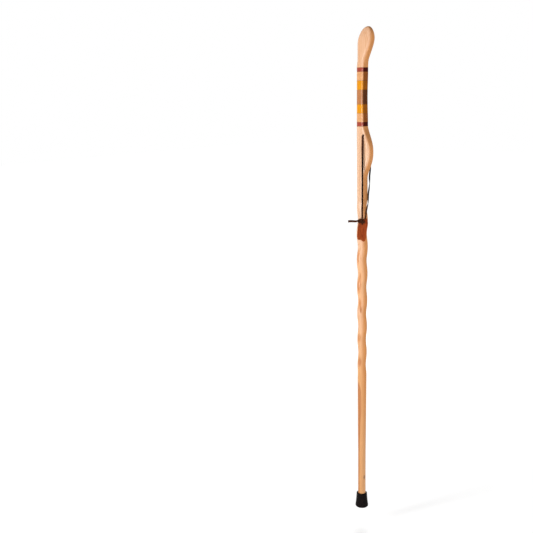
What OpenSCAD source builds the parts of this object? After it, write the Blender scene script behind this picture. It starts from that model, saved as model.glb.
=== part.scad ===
// Hiking staff in millimetres: a wooden stick with a carved palm swell and a carved spiral, a grip
// of seven glued wood bands under a leaning knob, a leather wrist lace with a tag, a rubber ferrule.
// The origin is the middle of the ferrule's sole and +Z runs up the staff. +X is the side that the
// knob and the palm swell lean to, and -Y is the flat side where the near end of the lace comes out.

/* [Staff] */
// Length from the sole to the top of the knob
staff_length = 1473; // [1300:1:1600]
// Thickness of the board that the grip is sawn from, across its two flat sides
stock_t = 26; // [24:0.5:32]
// Depth of the plain grip, from its back to its front
grip_depth = 26; // [24:0.5:32]
// Radius of the grip's long edges
grip_edge_r = 5; // [3:0.5:9]
// How far the front of the grip is hollowed at the middle of the bands
grip_hollow = 1.8; // [0:0.1:3]

/* [Knob] */
// Height of the knob above the bands
knob_h = 112.5; // [90:0.5:140]
// Depth of the knob at its widest, from the flat of the back to the front
knob_depth = 51; // [40:1:60]
// Radius of the knob's long edges
knob_edge_r = 10; // [5:0.5:12]
// Height over which the knob's edges round off from the grip's
knob_edge_rise = 25; // [10:1:60]
// How far the knob's peak stands in front of the grip's middle
knob_peak_x = 20; // [8:1:24]
// Drop from the peak to the widest level of the front
knob_front_drop = 29; // [20:1:40]
// Drop from the peak to where the back starts to curve over
knob_back_drop = 53; // [35:1:70]
// Drop from the peak to where the flat sides start to curve over
knob_side_drop = 43; // [30:1:60]

/* [Grip bands] */
// Height of each red band
red_band_h = 11.5; // [6:0.5:20]
// Height of each tan band
tan_band_h = 25; // [15:0.5:35]
// Height of each amber band
amber_band_h = 25.5; // [15:0.5:35]
// Height of the walnut band in the middle
walnut_band_h = 40.5; // [25:0.5:60]
// Diameter of the dowel inside the bands
dowel_d = 10; // [6:0.5:12]
// Depth of the dowel in the knob and in the shaft
dowel_depth = 40; // [20:1:60]
// Glue gap round the dowel
glue_gap = 0.05; // [0.02:0.01:0.1]

/* [Palm swell] */
// Length of the swell below the bands
swell_len = 152; // [120:1:180]
// Depth of the shaft at the fullest level of the swell, from back to front
swell_depth = 48.2; // [36:0.2:56]
// Drop from the bands to the fullest level
swell_drop = 74; // [60:1:90]
// Radius of the swell's front edges at the fullest level
swell_edge_r = 10; // [7:0.5:12]

/* [Shaft] */
// Width of the waist under the swell, across flats
waist_w = 25.4; // [23:0.2:28]
// Edge radius of the waist
waist_edge_r = 6; // [4:0.5:11]
// Length of the waist, from the swell to the full spiral
waist_len = 92; // [70:1:120]
// Length of the carved spiral
twist_len = 522; // [400:1:600]
// Diameter over the crests near the top of the spiral
twist_d = 32.8; // [28:0.2:36]
// Height that one turn of the spiral climbs
twist_pitch = 82; // [60:0.2:120]
// Depth of the spiral groove at its top
twist_depth = 3.3; // [1:0.1:5]
// Depth of the spiral groove at its foot
twist_foot_depth = 2.4; // [1:0.1:5]
// Diameter of the plain stick under the spiral
stick_d = 25.4; // [24:0.2:30]
// Diameter of the stick above the ferrule
ankle_d = 23.4; // [22.8:0.2:26]
// Height above the floor where the stick starts to thicken
ankle_h = 170; // [100:1:220]
// Length over which it thickens
calf_len = 130; // [60:1:180]

/* [Ferrule] */
// Height of the rubber ferrule
ferrule_h = 46; // [36:1:60]
// Outer diameter at its rim
ferrule_rim_d = 32.8; // [27:0.2:36]
// Outer diameter at its base
ferrule_base_d = 40.2; // [32:0.2:48]
// Radius of the base's lower edge
ferrule_edge_r = 3.6; // [2:0.2:7]
// Thickness of rubber under the washer
sole_t = 9; // [6:0.5:14]
// Diameter of the turned seat at the end of the stick
seat_d = 22.2; // [20:0.1:22.6]
// Radial clearance between the seat and the ferrule's bore
seat_gap = 0.05; // [0.02:0.01:0.1]
// Depth of the ring grooves in the sole
tread_depth = 1.2; // [0.5:0.1:2]
// Outer diameter of the steel washer under the stick
washer_d = 20; // [15:0.5:20]
// Hole of the washer
washer_hole_d = 6; // [3:0.5:10]
// Thickness of the washer
washer_t = 1.6; // [0.8:0.1:3]

/* [Wrist lace] */
// Width of the flat leather lace
lace_w = 4.6; // [3.6:0.1:5]
// Thickness of the lace
lace_t = 2.2; // [1.4:0.1:2.4]
// Diameter of the lace hole through the flat sides
lace_hole_d = 6.4; // [6:0.1:8]
// Width of the bevel round the mouths of the lace hole
lace_hole_bevel = 1.2; // [0.5:0.1:2]
// Drop from the bands to the lace hole
lace_hole_drop = 26; // [20:1:40]
// How far the lace hole lies in front of the grip's middle
lace_hole_x = 12; // [10:0.5:16]
// Width of the lace where it is drawn tight in the knot
knot_lace_w = 3.8; // [3:0.1:4.2]
// Half the depth of the knot's wraps, at the middle of the lace
knot_r = 5; // [4.6:0.1:6]
// Half the width of the knot's wraps, at the middle of the lace
knot_half_w = 8.5; // [7:0.1:9.5]
// Height that one wrap of the knot climbs
knot_pitch = 4.9; // [4.4:0.1:6]

/* [Tag] */
// Width of the leather tag
tag_w = 28.5; // [24:0.5:34]
// Height of the tag
tag_h = 66; // [55:1:80]
// Thickness of the tag's leather
tag_t = 2; // [1.4:0.1:2.4]
// Radius of the tag's corners
tag_corner_r = 4; // [2:0.5:8]
// Diameter of the tag's punched hole
tag_hole_d = 6.8; // [6.4:0.1:8]
// Distance from the tag's top edge to the middle of its hole
tag_hole_drop = 12; // [10:1:20]
// How far the tag's hole lies to the right of its middle line
tag_hole_x = 3; // [0:0.5:5]
// How far the tag's lower corner curls forward
tag_curl = 4; // [0:0.5:6]

/* [Hidden] */
$fn = 64;

// Levels, worked out from the top down
knob_z = staff_length - knob_h;
upper_red_z = knob_z - red_band_h;
upper_tan_z = upper_red_z - tan_band_h;
upper_amber_z = upper_tan_z - amber_band_h;
walnut_z = upper_amber_z - walnut_band_h;
lower_amber_z = walnut_z - amber_band_h;
lower_tan_z = lower_amber_z - tan_band_h;
grip_z = lower_tan_z - red_band_h;
swell_z = grip_z - swell_drop;
waist_z = grip_z - swell_len;
twist_top_z = waist_z - waist_len;
twist_bottom_z = twist_top_z - twist_len;
lace_z = grip_z - lace_hole_drop;

// Small clearances between pieces on different bodies
shoulder_gap = 0.3;
washer_gap = 0.3;

// Grip section, measured from the staff's middle line
grip_half = grip_depth / 2;
stock_half = stock_t / 2;
waist_half = waist_w / 2;
knob_front = knob_depth - grip_half;
swell_front = swell_depth - grip_half;

// Points along each of the four rounded corners of a section, and all points of one section
arc_n = 7;
section_n = 4 * (arc_n + 1);
// The roundest that a corner may be, as a share of half the width, so that a short flat is left
roundest = 0.96;

function mix(a, b, t) = a + (b - a) * t;
function ramp(z, z0, z1) = min(1, max(0, (z - z0) / (z1 - z0)));
function ease(t) = t * t * (3 - 2 * t);
function quarter_arc(t) = sqrt(max(0, 1 - t * t));
function unit(v) = v / norm(v);

// A rounded rectangle from -back to front and across both flat sides, anticlockwise from above
function corner(x, y, r, start) =
    [for (i = [0:arc_n]) let (a = start + 90 * i / arc_n) [x + r * cos(a), y + r * sin(a)]];
function section(front, back, half, front_r, back_r) = let (
    most = roundest * min(half, (front + back) / 2),
    rf = min(front_r, most),
    rb = min(back_r, most)
) concat(
    corner(front - rf, half - rf, rf, 0),
    corner(rb - back, half - rb, rb, 90),
    corner(rb - back, rb - half, rb, 180),
    corner(front - rf, rf - half, rf, 270)
);
// A section of the grip, which is hollowed at its front from the swell to the knob
function grip_front(z) = grip_half - grip_hollow * pow(sin(180 * ramp(z, grip_z, knob_z)), 2);
function grip_ring(z) = [
    for (p = section(grip_front(z), grip_half, stock_half, grip_edge_r, grip_edge_r)) [p.x, p.y, z]
];

// Side faces between rings of m points each, clockwise from outside
function side_faces(rings, m) = [
    for (i = [0:rings - 2], j = [0:m - 1]) let (
        a = i * m + j,
        b = i * m + (j + 1) % m
    ) each [[a, a + m, b + m], [a, b + m, b]]
];
function bottom_cap(m) = [[for (j = [0:m - 1]) j]];
function top_cap(rings, m) = [[for (j = [m - 1:-1:0]) (rings - 1) * m + j]];

// A solid through rings of points, closed flat at both ends
module loft(rings) {
    m = len(rings[0]);
    polyhedron(
        [for (r = rings) each r],
        concat(bottom_cap(m), side_faces(len(rings), m), top_cap(len(rings), m)),
        convexity = 6
    );
}

// Knob: the front swings out in an S and the dome closes along three quarter ellipses
knob_rings_n = 26;
function knob_back(z) = let (t = ramp(z, knob_h - knob_back_drop, knob_h))
    mix(-knob_peak_x, grip_half, quarter_arc(t));
function knob_front_x(z) = let (
    level = knob_h - knob_front_drop,
    widest = mix(grip_half, knob_front, ease(ramp(z, 0, level)))
) mix(knob_peak_x, widest, quarter_arc(ramp(z, level, knob_h)));
function knob_half(z) = stock_half * quarter_arc(ramp(z, knob_h - knob_side_drop, knob_h));
function knob_ring(z) = let (r = mix(grip_edge_r, knob_edge_r, ease(ramp(z, 0, knob_edge_rise))))
    [for (p = section(knob_front_x(z), knob_back(z), knob_half(z), r, r)) [p.x, p.y, knob_z + z]];

module knob_blank() {
    m = section_n;
    rings = [for (i = [0:knob_rings_n - 1]) knob_ring(knob_h * sin(90 * i / knob_rings_n))];
    last = (knob_rings_n - 1) * m;
    peak = knob_rings_n * m;
    polyhedron(
        concat([for (r = rings) each r], [[knob_peak_x, 0, staff_length]]),
        concat(
            bottom_cap(m),
            side_faces(knob_rings_n, m),
            [for (j = [0:m - 1]) [last + j, peak, last + (j + 1) % m]]
        ),
        convexity = 4
    );
}

module dowel_bore() {
    translate([0, 0, grip_z - dowel_depth - glue_gap])
        cylinder(d = dowel_d + 2 * glue_gap, h = knob_z - grip_z + 2 * (dowel_depth + glue_gap));
}

module knob() {
    color("burlywood") difference() {
        knob_blank();
        dowel_bore();
    }
}

// One glued band of the grip
band_steps = 6;
module band(z, h) {
    difference() {
        loft([for (i = [0:band_steps]) grip_ring(z + h * i / band_steps)]);
        dowel_bore();
    }
}

module upper_red_band() { color("brown") band(upper_red_z, red_band_h); }
module upper_tan_band() { color("sandybrown") band(upper_tan_z, tan_band_h); }
module upper_amber_band() { color("goldenrod") band(upper_amber_z, amber_band_h); }
module walnut_band() { color("saddlebrown") band(walnut_z, walnut_band_h); }
module lower_amber_band() { color("goldenrod") band(lower_amber_z, amber_band_h); }
module lower_tan_band() { color("sandybrown") band(lower_tan_z, tan_band_h); }
module lower_red_band() { color("brown") band(grip_z, red_band_h); }

// Dowel that pins the end-grain glue joints together
module core_dowel() {
    color("wheat") translate([0, 0, grip_z - dowel_depth])
        cylinder(d = dowel_d, h = knob_z - grip_z + 2 * dowel_depth);
}

// Shaft: the front of the swell bellies out under the bands and runs out in a hollow curve
swell_rise_power = 1.4;
swell_runout_power = 1.25;
function swell_x(z) = z >= swell_z
    ? mix(grip_half, swell_front, pow(sin(90 * ramp(z, grip_z, swell_z)), swell_rise_power))
    : mix(swell_front, waist_half, ease(pow(ramp(z, swell_z, waist_z), swell_runout_power)));

// Diameter of the round stick, from the ankle up to the thick top of the spiral
function stick_d_at(z) = let (
    calf = ease(ramp(z, ankle_h, ankle_h + calf_len)),
    rise = ramp(z, ankle_h + calf_len, twist_top_z - twist_pitch)
) ankle_d + (stick_d - ankle_d) * calf + (twist_d - stick_d) * rise;

// The groove turns left-handed and fades in and out. Its first crest to face crest_turn, measured
// from +X towards +Y, is crest_drop under the top of the spiral.
crest_turn = 37;
crest_drop = 30;
twist_fade = 45;
groove_power = 1.2;
function groove_side(z) = crest_turn + 180 - 360 * (z - twist_top_z + crest_drop) / twist_pitch;
function groove_depth(z) = mix(twist_foot_depth, twist_depth, ramp(z, twist_bottom_z, twist_top_z))
    * ease(ramp(z, twist_bottom_z, twist_bottom_z + twist_fade))
    * ease(ramp(z, twist_top_z + twist_fade, twist_top_z));
function carve(p, z) = let (
    a = atan2(p.y, p.x) - groove_side(z),
    cut = groove_depth(z) * pow((1 + cos(a)) / 2, groove_power)
) p * (1 - cut / norm(p));

// One section of the shaft: round below, a soft square at the waist, the grip's section at the top
function shaft_section(z) = let (
    to_waist = ease(ramp(z, twist_top_z - twist_fade, twist_top_z + twist_fade)),
    to_grip = ramp(z, waist_z, grip_z),
    round_half = stick_d_at(z) / 2,
    half = mix(round_half, waist_half, to_waist),
    edge_r = mix(round_half, waist_edge_r, to_waist),
    back = mix(half, grip_half, to_grip),
    back_r = mix(edge_r, grip_edge_r, to_grip),
    nose_r = mix(back_r, swell_edge_r, pow(sin(180 * to_grip), 2))
) section(z > waist_z ? swell_x(z) : half, back, mix(half, stock_half, to_grip), nose_r, back_r);
function shaft_ring(z) = [for (p = shaft_section(z)) let (q = carve(p, z)) [q.x, q.y, z]];

// Levels of the rings: wide steps on the plain stick, close ones on the spiral and the swell
shaft_foot_z = ferrule_h + shoulder_gap;
stick_steps = 14;
twist_steps = 84;
swell_steps = 36;
swell_base_z = twist_top_z + twist_fade;
shaft_levels = concat(
    [for (i = [0:stick_steps - 1]) mix(shaft_foot_z, twist_bottom_z, i / stick_steps)],
    [for (i = [0:twist_steps - 1]) mix(twist_bottom_z, swell_base_z, i / twist_steps)],
    [for (i = [0:swell_steps]) mix(swell_base_z, grip_z, i / swell_steps)]
);

// Turned seat for the ferrule, down to the washer, and how far its cylinder runs up inside the stick
seat_foot_z = sole_t + washer_t + washer_gap;
seat_root = 5;

module lace_hole() {
    translate([lace_hole_x, 0, lace_z]) rotate([90, 0, 0]) {
        cylinder(d = lace_hole_d, h = 2 * stock_t, center = true);
        for (side = [0, 1]) mirror([0, 0, side]) translate([0, 0, stock_half - lace_hole_bevel])
            cylinder(
                d1 = lace_hole_d, d2 = lace_hole_d + 4 * lace_hole_bevel, h = 2 * lace_hole_bevel
            );
    }
}

module shaft() {
    color("burlywood") difference() {
        union() {
            loft([for (z = shaft_levels) shaft_ring(z)]);
            translate([0, 0, seat_foot_z])
                cylinder(d = seat_d, h = shaft_foot_z - seat_foot_z + seat_root);
        }
        dowel_bore();
        lace_hole();
    }
}

// Ferrule: a turned profile with a rounded base, a tapering skirt, a rim and rings in the sole
rim_r = 1.5;
tread_w = 1.6;
tread_step = 4.2;
tread_rings = 2;
skirt_lean = 8;
profile_arc_n = 6;
function profile_arc(x, y, r, start, end) = [
    for (i = [0:profile_arc_n]) let (a = mix(start, end, i / profile_arc_n))
        [x + r * cos(a), y + r * sin(a)]
];
function tread(i) = let (x = tread_step * i)
    [[x, 0], [x, tread_depth], [x + tread_w, tread_depth], [x + tread_w, 0]];

module ferrule() {
    bore_r = seat_d / 2 + seat_gap;
    base_r = ferrule_base_d / 2;
    rim_x = ferrule_rim_d / 2 - rim_r;
    color("dimgray") rotate_extrude() polygon(concat(
        [[0, 0]],
        [for (i = [1:tread_rings]) each tread(i)],
        profile_arc(base_r - ferrule_edge_r, ferrule_edge_r, ferrule_edge_r, -90, skirt_lean),
        profile_arc(rim_x, ferrule_h - rim_r, rim_r, skirt_lean, 90),
        [[bore_r, ferrule_h], [bore_r, sole_t], [0, sole_t]]
    ));
}

// Steel washer that keeps the stick from punching through the rubber
module ferrule_washer() {
    color("silver") translate([0, 0, sole_t]) difference() {
        cylinder(d = washer_d, h = washer_t);
        translate([0, 0, -washer_t]) cylinder(d = washer_hole_d, h = 3 * washer_t);
    }
}

// Wrist lace. Its lower end turns to lace_turn, so route points there are given as [across, out],
// seen facing the tag. Every route point is [x, y, drop under the lace hole].
lace_turn = 37;
function facing(across, out, drop) = [
    across * cos(lace_turn) + out * sin(lace_turn),
    across * sin(lace_turn) - out * cos(lace_turn),
    drop
];
function facing_side(turn) = [cos(turn), sin(turn), 0];
function hung(p) = [p.x, p.y, lace_z - p.z];

// A tube of eight sides along points, w wide along side and t thick, with bevelled edges
lace_bevel = 0.5;
function lace_outline(w, t) = let (x = w / 2, y = t / 2, c = lace_bevel) [
    [x, c - y], [x, y - c], [x - c, y], [c - x, y], [-x, y - c], [-x, c - y], [c - x, -y], [x - c, -y]
];
function heading(points, i) = unit(points[min(i + 1, len(points) - 1)] - points[max(i - 1, 0)]);
function lace_ring(point, along, side, outline) = let (
    face = unit(cross(along, side)),
    across = cross(face, along)
) [for (q = outline) point + across * q.x + face * q.y];
function lace_rings(points, sides, widths) = [
    for (i = [0:len(points) - 1])
        lace_ring(points[i], heading(points, i), sides[i], lace_outline(widths[i], lace_t))
];

// Through the hole and over both lower lips, in the plane of the hole. The turn over a lip starts
// lip_inset inside the flat side, and the strands take over strand_drop under the hole.
lip_r = 2.8;
lip_inset = 0.8;
lip_steps = 4;
lip_y = stock_half - lip_inset;
strand_drop = 8;
strand_y = lip_y + lip_r;
function lip(side) = [
    for (i = [0:lip_steps]) let (a = 90 * i / lip_steps)
        [lace_hole_x, side * (lip_y + lip_r * cos(a)), lace_z - lip_r + lip_r * sin(a)]
];
function reversed(list) = [for (i = [len(list) - 1:-1:0]) list[i]];
bridge_points = concat(
    [[lace_hole_x, strand_y, lace_z - strand_drop]],
    lip(1),
    reversed(lip(-1)),
    [[lace_hole_x, -strand_y, lace_z - strand_drop]]
);

module lace_bridge() {
    n = len(bridge_points);
    color("#4a2a1c") loft(lace_rings(
        bridge_points, [for (i = [1:n]) [1, 0, 0]], [for (i = [1:n]) lace_w]
    ));
}

// Near strand: bows off the near side, then runs core_rise above to core_fall below the lowest wrap.
// The wraps lie in front of the tag, with wrap_gap between them.
tag_out = 20;
tag_front = tag_out + tag_t / 2;
wrap_gap = 0.9;
knot_across = -3.5;
knot_out = tag_front + wrap_gap + lace_t / 2 + knot_r;
knot_drop = 253;
core_across = 0;
core_rise = 22;
core_fall = 5;
core_top = facing(core_across, knot_out, knot_drop - core_rise);
core_end = facing(core_across, knot_out, knot_drop + core_fall);
near_route = [
    [lace_hole_x, -strand_y, strand_drop], [lace_hole_x, -strand_y, strand_drop + lace_w],
    [12.8, -16.8, 28], [13.6, -18.2, 44], [14.2, -19, 70], [14.6, -19.6, 110], [15, -20.2, 150],
    [15.4, -20.8, 190], [15.8, -21.6, 216], core_top, core_end
];

module lace_near_strand() {
    n = len(near_route);
    color("#4a2a1c") loft(lace_rings(
        [for (p = near_route) hung(p)],
        [for (i = [0:n - 1]) facing_side(lace_turn * i / (n - 1))],
        [for (i = [1:n]) lace_w]
    ));
}

// Far strand: down the far side, round the front of the shaft and out through the tag's hole. It is
// straight in the hole, from hole_lead behind the tag's middle to hole_exit in front of the tag.
tag_across = knot_across + knot_half_w;
hole_lead = 0.6;
hole_exit = 1;
far_route = [
    [lace_hole_x, strand_y, strand_drop], [lace_hole_x, strand_y, strand_drop + lace_w],
    [12.8, 15.4, 40], [14.8, 15.7, 64], [16.9, 15.6, 84], [17.9, 14.4, 102], [18, 11.4, 119],
    [19, 8.2, 140], [19.8, 5.4, 159], [20, 2.4, 177], [19.8, -0.8, 196], [19.3, -3.2, 212],
    facing(10.6, 15.2, 230), facing(9.7, 15.9, 241), facing(8, 16.6, 248.4), facing(6.2, 17.6, 252),
    facing(tag_across, tag_out - hole_lead, knot_drop),
    facing(tag_across, tag_front + hole_exit, knot_drop)
];
// The turn of the strand's flat at each of those points, and where it is drawn narrower for the hole
far_turns = [180, 178, 170, 158, 145, 132, 120, 108, 98, 90, 82, 74, 62, 50, 42, 37, 37, 37];
narrow_from = len(far_route) - 6;
narrow_to = len(far_route) - 2;
function far_width(i) = mix(lace_w, knot_lace_w, ramp(i, narrow_from, narrow_to));

module lace_far_strand() {
    n = len(far_route);
    color("#4a2a1c") loft(lace_rings(
        [for (p = far_route) hung(p)],
        [for (a = far_turns) facing_side(a)],
        [for (i = [0:n - 1]) far_width(i)]
    ));
}

// Knot: the far end runs forward past the near strand and wraps round it, climbing
knot_wraps = 2.25;
wrap_rings = 24;
lead_rings = 4;
knot_rings_n = knot_wraps * wrap_rings;
function wrap_point(i) = let (a = 360 * i / wrap_rings)
    facing(
        knot_across + knot_half_w * cos(a),
        knot_out + knot_r * sin(a),
        knot_drop - knot_pitch * i / wrap_rings
    );
lead_start = far_route[len(far_route) - 1];
knot_route = concat(
    [for (i = [0:lead_rings - 1]) mix(lead_start, wrap_point(0), i / lead_rings)],
    [for (i = [0:knot_rings_n]) wrap_point(i)]
);
// The flat turns from level to upright along the lead
function knot_side(i) = let (t = 90 * min(1, i / lead_rings))
    facing_side(lace_turn) * cos(t) - [0, 0, 1] * sin(t);
knot_points = [for (p = knot_route) hung(p)];
knot_tube = lace_rings(
    knot_points,
    [for (i = [0:len(knot_points) - 1]) knot_side(i)],
    [for (p = knot_points) knot_lace_w]
);
// Least gap between points of the knot that lie at least half a wrap apart along it
knot_gap = min([
    for (i = [0:len(knot_tube) - 1], k = [i + wrap_rings / 2:1:len(knot_tube) - 1])
        min([for (p = knot_tube[i], q = knot_tube[k]) norm(p - q)])
]);

module lace_knot() {
    color("#4a2a1c") loft(knot_tube);
    echo(knot_least_gap_to_itself = knot_gap);
}

// Tail: leaves the last wrap to the left, crosses over the wraps and ends level with their middle
wraps_end = wrap_point(knot_rings_n);
wraps_exit = heading(knot_route, len(knot_route) - 1);
tail_route = [
    wraps_end, wraps_end + wraps_exit * knot_lace_w, facing(-10.6, 34.4, 243.4), facing(-14, 35, 245.4),
    facing(-18, 34.8, 246.8), facing(-24, 34, 246.8), facing(-31, 33, 246.6), facing(-37, 32, 247),
    facing(-41, 31.2, 247.6)
];

module lace_tail() {
    color("#4a2a1c") loft(lace_rings(
        [for (p = tail_route) hung(p)],
        [for (p = tail_route) [0, 0, -1]],
        [for (p = tail_route) knot_lace_w]
    ));
}

// Tag: a cut piece of leather, flat at its hole. Its top edge falls by tag_top_fall to the left, its
// bottom edge falls by twice tag_slant to the right, and its lower left corner curls forward.
tag_lean = 4;
tag_slant = 4;
tag_top_fall = 9;
curl_start = 0.4;
tag_cols = 8;
tag_rows = 12;
function tag_edge(t) = tag_corner_r * (1 - quarter_arc(ramp(t, 1, 0)));
function tag_half_w(row) = let (
    y = tag_h * row / tag_rows,
    near = min(y, tag_h - y)
) tag_w / 2 - tag_edge(min(1, near / tag_corner_r));
function tag_point(row, col, side) = let (
    s = 2 * col / tag_cols - 1,
    t = row / tag_rows,
    x = s * tag_half_w(row) - tag_hole_x,
    drop = tag_h * t - tag_hole_drop + tag_slant * s * t + tag_top_fall * (1 - s) / 2 * (1 - t),
    curl = tag_curl * ease(ramp(t, curl_start, 1)) * (1 - s) / 2
) hung(facing(
    tag_across + x * cos(tag_lean) - drop * sin(tag_lean),
    tag_out + curl + side * tag_t / 2,
    knot_drop + drop * cos(tag_lean) + x * sin(tag_lean)
));
// Each row is a ring: across the front and back again
function tag_ring(row) = concat(
    [for (col = [tag_cols:-1:0]) tag_point(row, col, 1)],
    [for (col = [0:tag_cols]) tag_point(row, col, -1)]
);

module tag() {
    color("sienna") difference() {
        loft([for (row = [0:tag_rows]) tag_ring(row)]);
        translate(hung(facing(tag_across, tag_out, knot_drop))) rotate([90, 0, lace_turn])
            cylinder(d = tag_hole_d, h = 4 * tag_t, center = true);
    }
}

knob();
upper_red_band();
upper_tan_band();
upper_amber_band();
walnut_band();
lower_amber_band();
lower_tan_band();
lower_red_band();
core_dowel();
shaft();
ferrule();
ferrule_washer();
lace_bridge();
lace_near_strand();
lace_far_strand();
lace_knot();
lace_tail();
tag();
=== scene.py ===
"""Looks of the hiking staff: carved and glued wood, a leather lace with a tag, a rubber ferrule.

Everything is in metres, in the part's own frame: the origin is the middle of the ferrule's sole, +Z
runs up the staff, +X is the side that the knob and the palm swell lean to, and -Y is the flat side
where the near end of the lace comes out.
"""

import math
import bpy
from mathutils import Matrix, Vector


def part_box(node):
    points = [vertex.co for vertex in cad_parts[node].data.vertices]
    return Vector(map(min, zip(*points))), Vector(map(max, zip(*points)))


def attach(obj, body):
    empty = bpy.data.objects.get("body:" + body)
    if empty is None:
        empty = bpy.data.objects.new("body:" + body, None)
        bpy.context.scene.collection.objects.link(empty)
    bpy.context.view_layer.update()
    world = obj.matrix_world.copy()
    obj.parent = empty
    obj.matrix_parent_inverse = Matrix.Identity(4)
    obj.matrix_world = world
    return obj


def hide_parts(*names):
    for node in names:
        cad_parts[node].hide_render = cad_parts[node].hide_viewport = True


bl_info = {
    "name": "Hiking Staff",
    "version": (1, 0, 0),
    "blender": (4, 5, 0),
    "location": "View3D > Sidebar > Staff",
    "description": "Builds a wooden hiking staff with a banded grip, a leather lace and a ferrule",
    "category": "Add Mesh",
}

import bpy
import numpy as np
from bpy.props import FloatProperty, FloatVectorProperty, PointerProperty
from bpy.types import Operator, Panel, PropertyGroup
from mathutils import Matrix

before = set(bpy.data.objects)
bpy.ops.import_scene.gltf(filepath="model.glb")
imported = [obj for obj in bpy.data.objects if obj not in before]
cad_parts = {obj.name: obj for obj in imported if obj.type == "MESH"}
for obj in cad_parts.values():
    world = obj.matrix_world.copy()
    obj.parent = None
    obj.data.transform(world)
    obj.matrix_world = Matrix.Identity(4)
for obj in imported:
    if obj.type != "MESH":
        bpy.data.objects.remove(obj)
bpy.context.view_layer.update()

MM = 0.001
TURN = 2 * math.pi


def bottom(node):
    """Lowest level of a packed node."""
    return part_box(node)[0].z


def top(node):
    """Highest level of a packed node."""
    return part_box(node)[1].z


# Levels of the staff, from the frame. The stick's shoulder stands a small gap over the ferrule
STAFF_TOP = top("knob")
KNOB_Z = bottom("knob")
GRIP_Z = bottom("lower_red_band")
FERRULE_H = top("ferrule")
SHOULDER_GAP = 0.3 * MM
FOOT_Z = FERRULE_H + SHOULDER_GAP
SEAT_Z = bottom("shaft")
SOLE_T = bottom("ferrule_washer")
DOWEL_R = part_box("core_dowel")[1].x
DOWEL_TOP = top("core_dowel")
DOWEL_FOOT = bottom("core_dowel")

# Points along each corner arc and each flat of a wooden section
CORNER_STEPS = 14
FLAT_STEPS = 10
# The roundest that a corner may be, as a share of half the width
ROUNDEST = 0.96
# A small corner is sanded softer than a circle: it starts earlier and bends most at its middle. Past
# this share of the roundest it turns into a circle
SOFT_REACH = 1.5
SOFT_POWER = 3.0
CIRCLE_POWER = 2.0
SOFT_UP_TO = 0.5
# Edges sharper than this are shaded as edges
CREASE = math.radians(40)
# Clearance round the dowel, and the eased edge of each glued block
GLUE_GAP = 0.05 * MM
BLOCK_EASE = 0.14 * MM
# How far from a glue joint the wood is stained by it
GLUE_REACH = 0.7 * MM
# Share of the varnish's gloss that the flat sides show
FLAT_GLOSS = 0.2
# How far a surface is turned from the flat sides, as one less the square of its normal's Y: where its
# turned sides are painted in shade, where it is polished, and where the painted shade of upward-facing rims
# lies
SHADED_SIDE_SPAN = (0.1, 0.9)
POLISH_SPAN = (0.0, 0.02)
RIM_SPAN = (0.15, 0.7)
# How far the surface faces up, where its turned rims are painted in shade
UP_SPAN = (0.1, 0.6)


def size(name, description, default):
    """A length that a user may change."""
    return FloatProperty(
        name=name, description=description, default=default, unit="LENGTH", precision=4
    )


def share(name, description, default):
    """A plain number that a user may change."""
    return FloatProperty(name=name, description=description, default=default)


def angle(name, description, degrees):
    """An angle that a user may change."""
    return FloatProperty(
        name=name, description=description, default=math.radians(degrees), subtype="ANGLE"
    )


def colour(name, description, default):
    """A scene-linear colour that a user may change."""
    return FloatVectorProperty(
        name=name, description=description, default=default, size=3, min=0.0, max=1.0, subtype="COLOR"
    )


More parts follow.
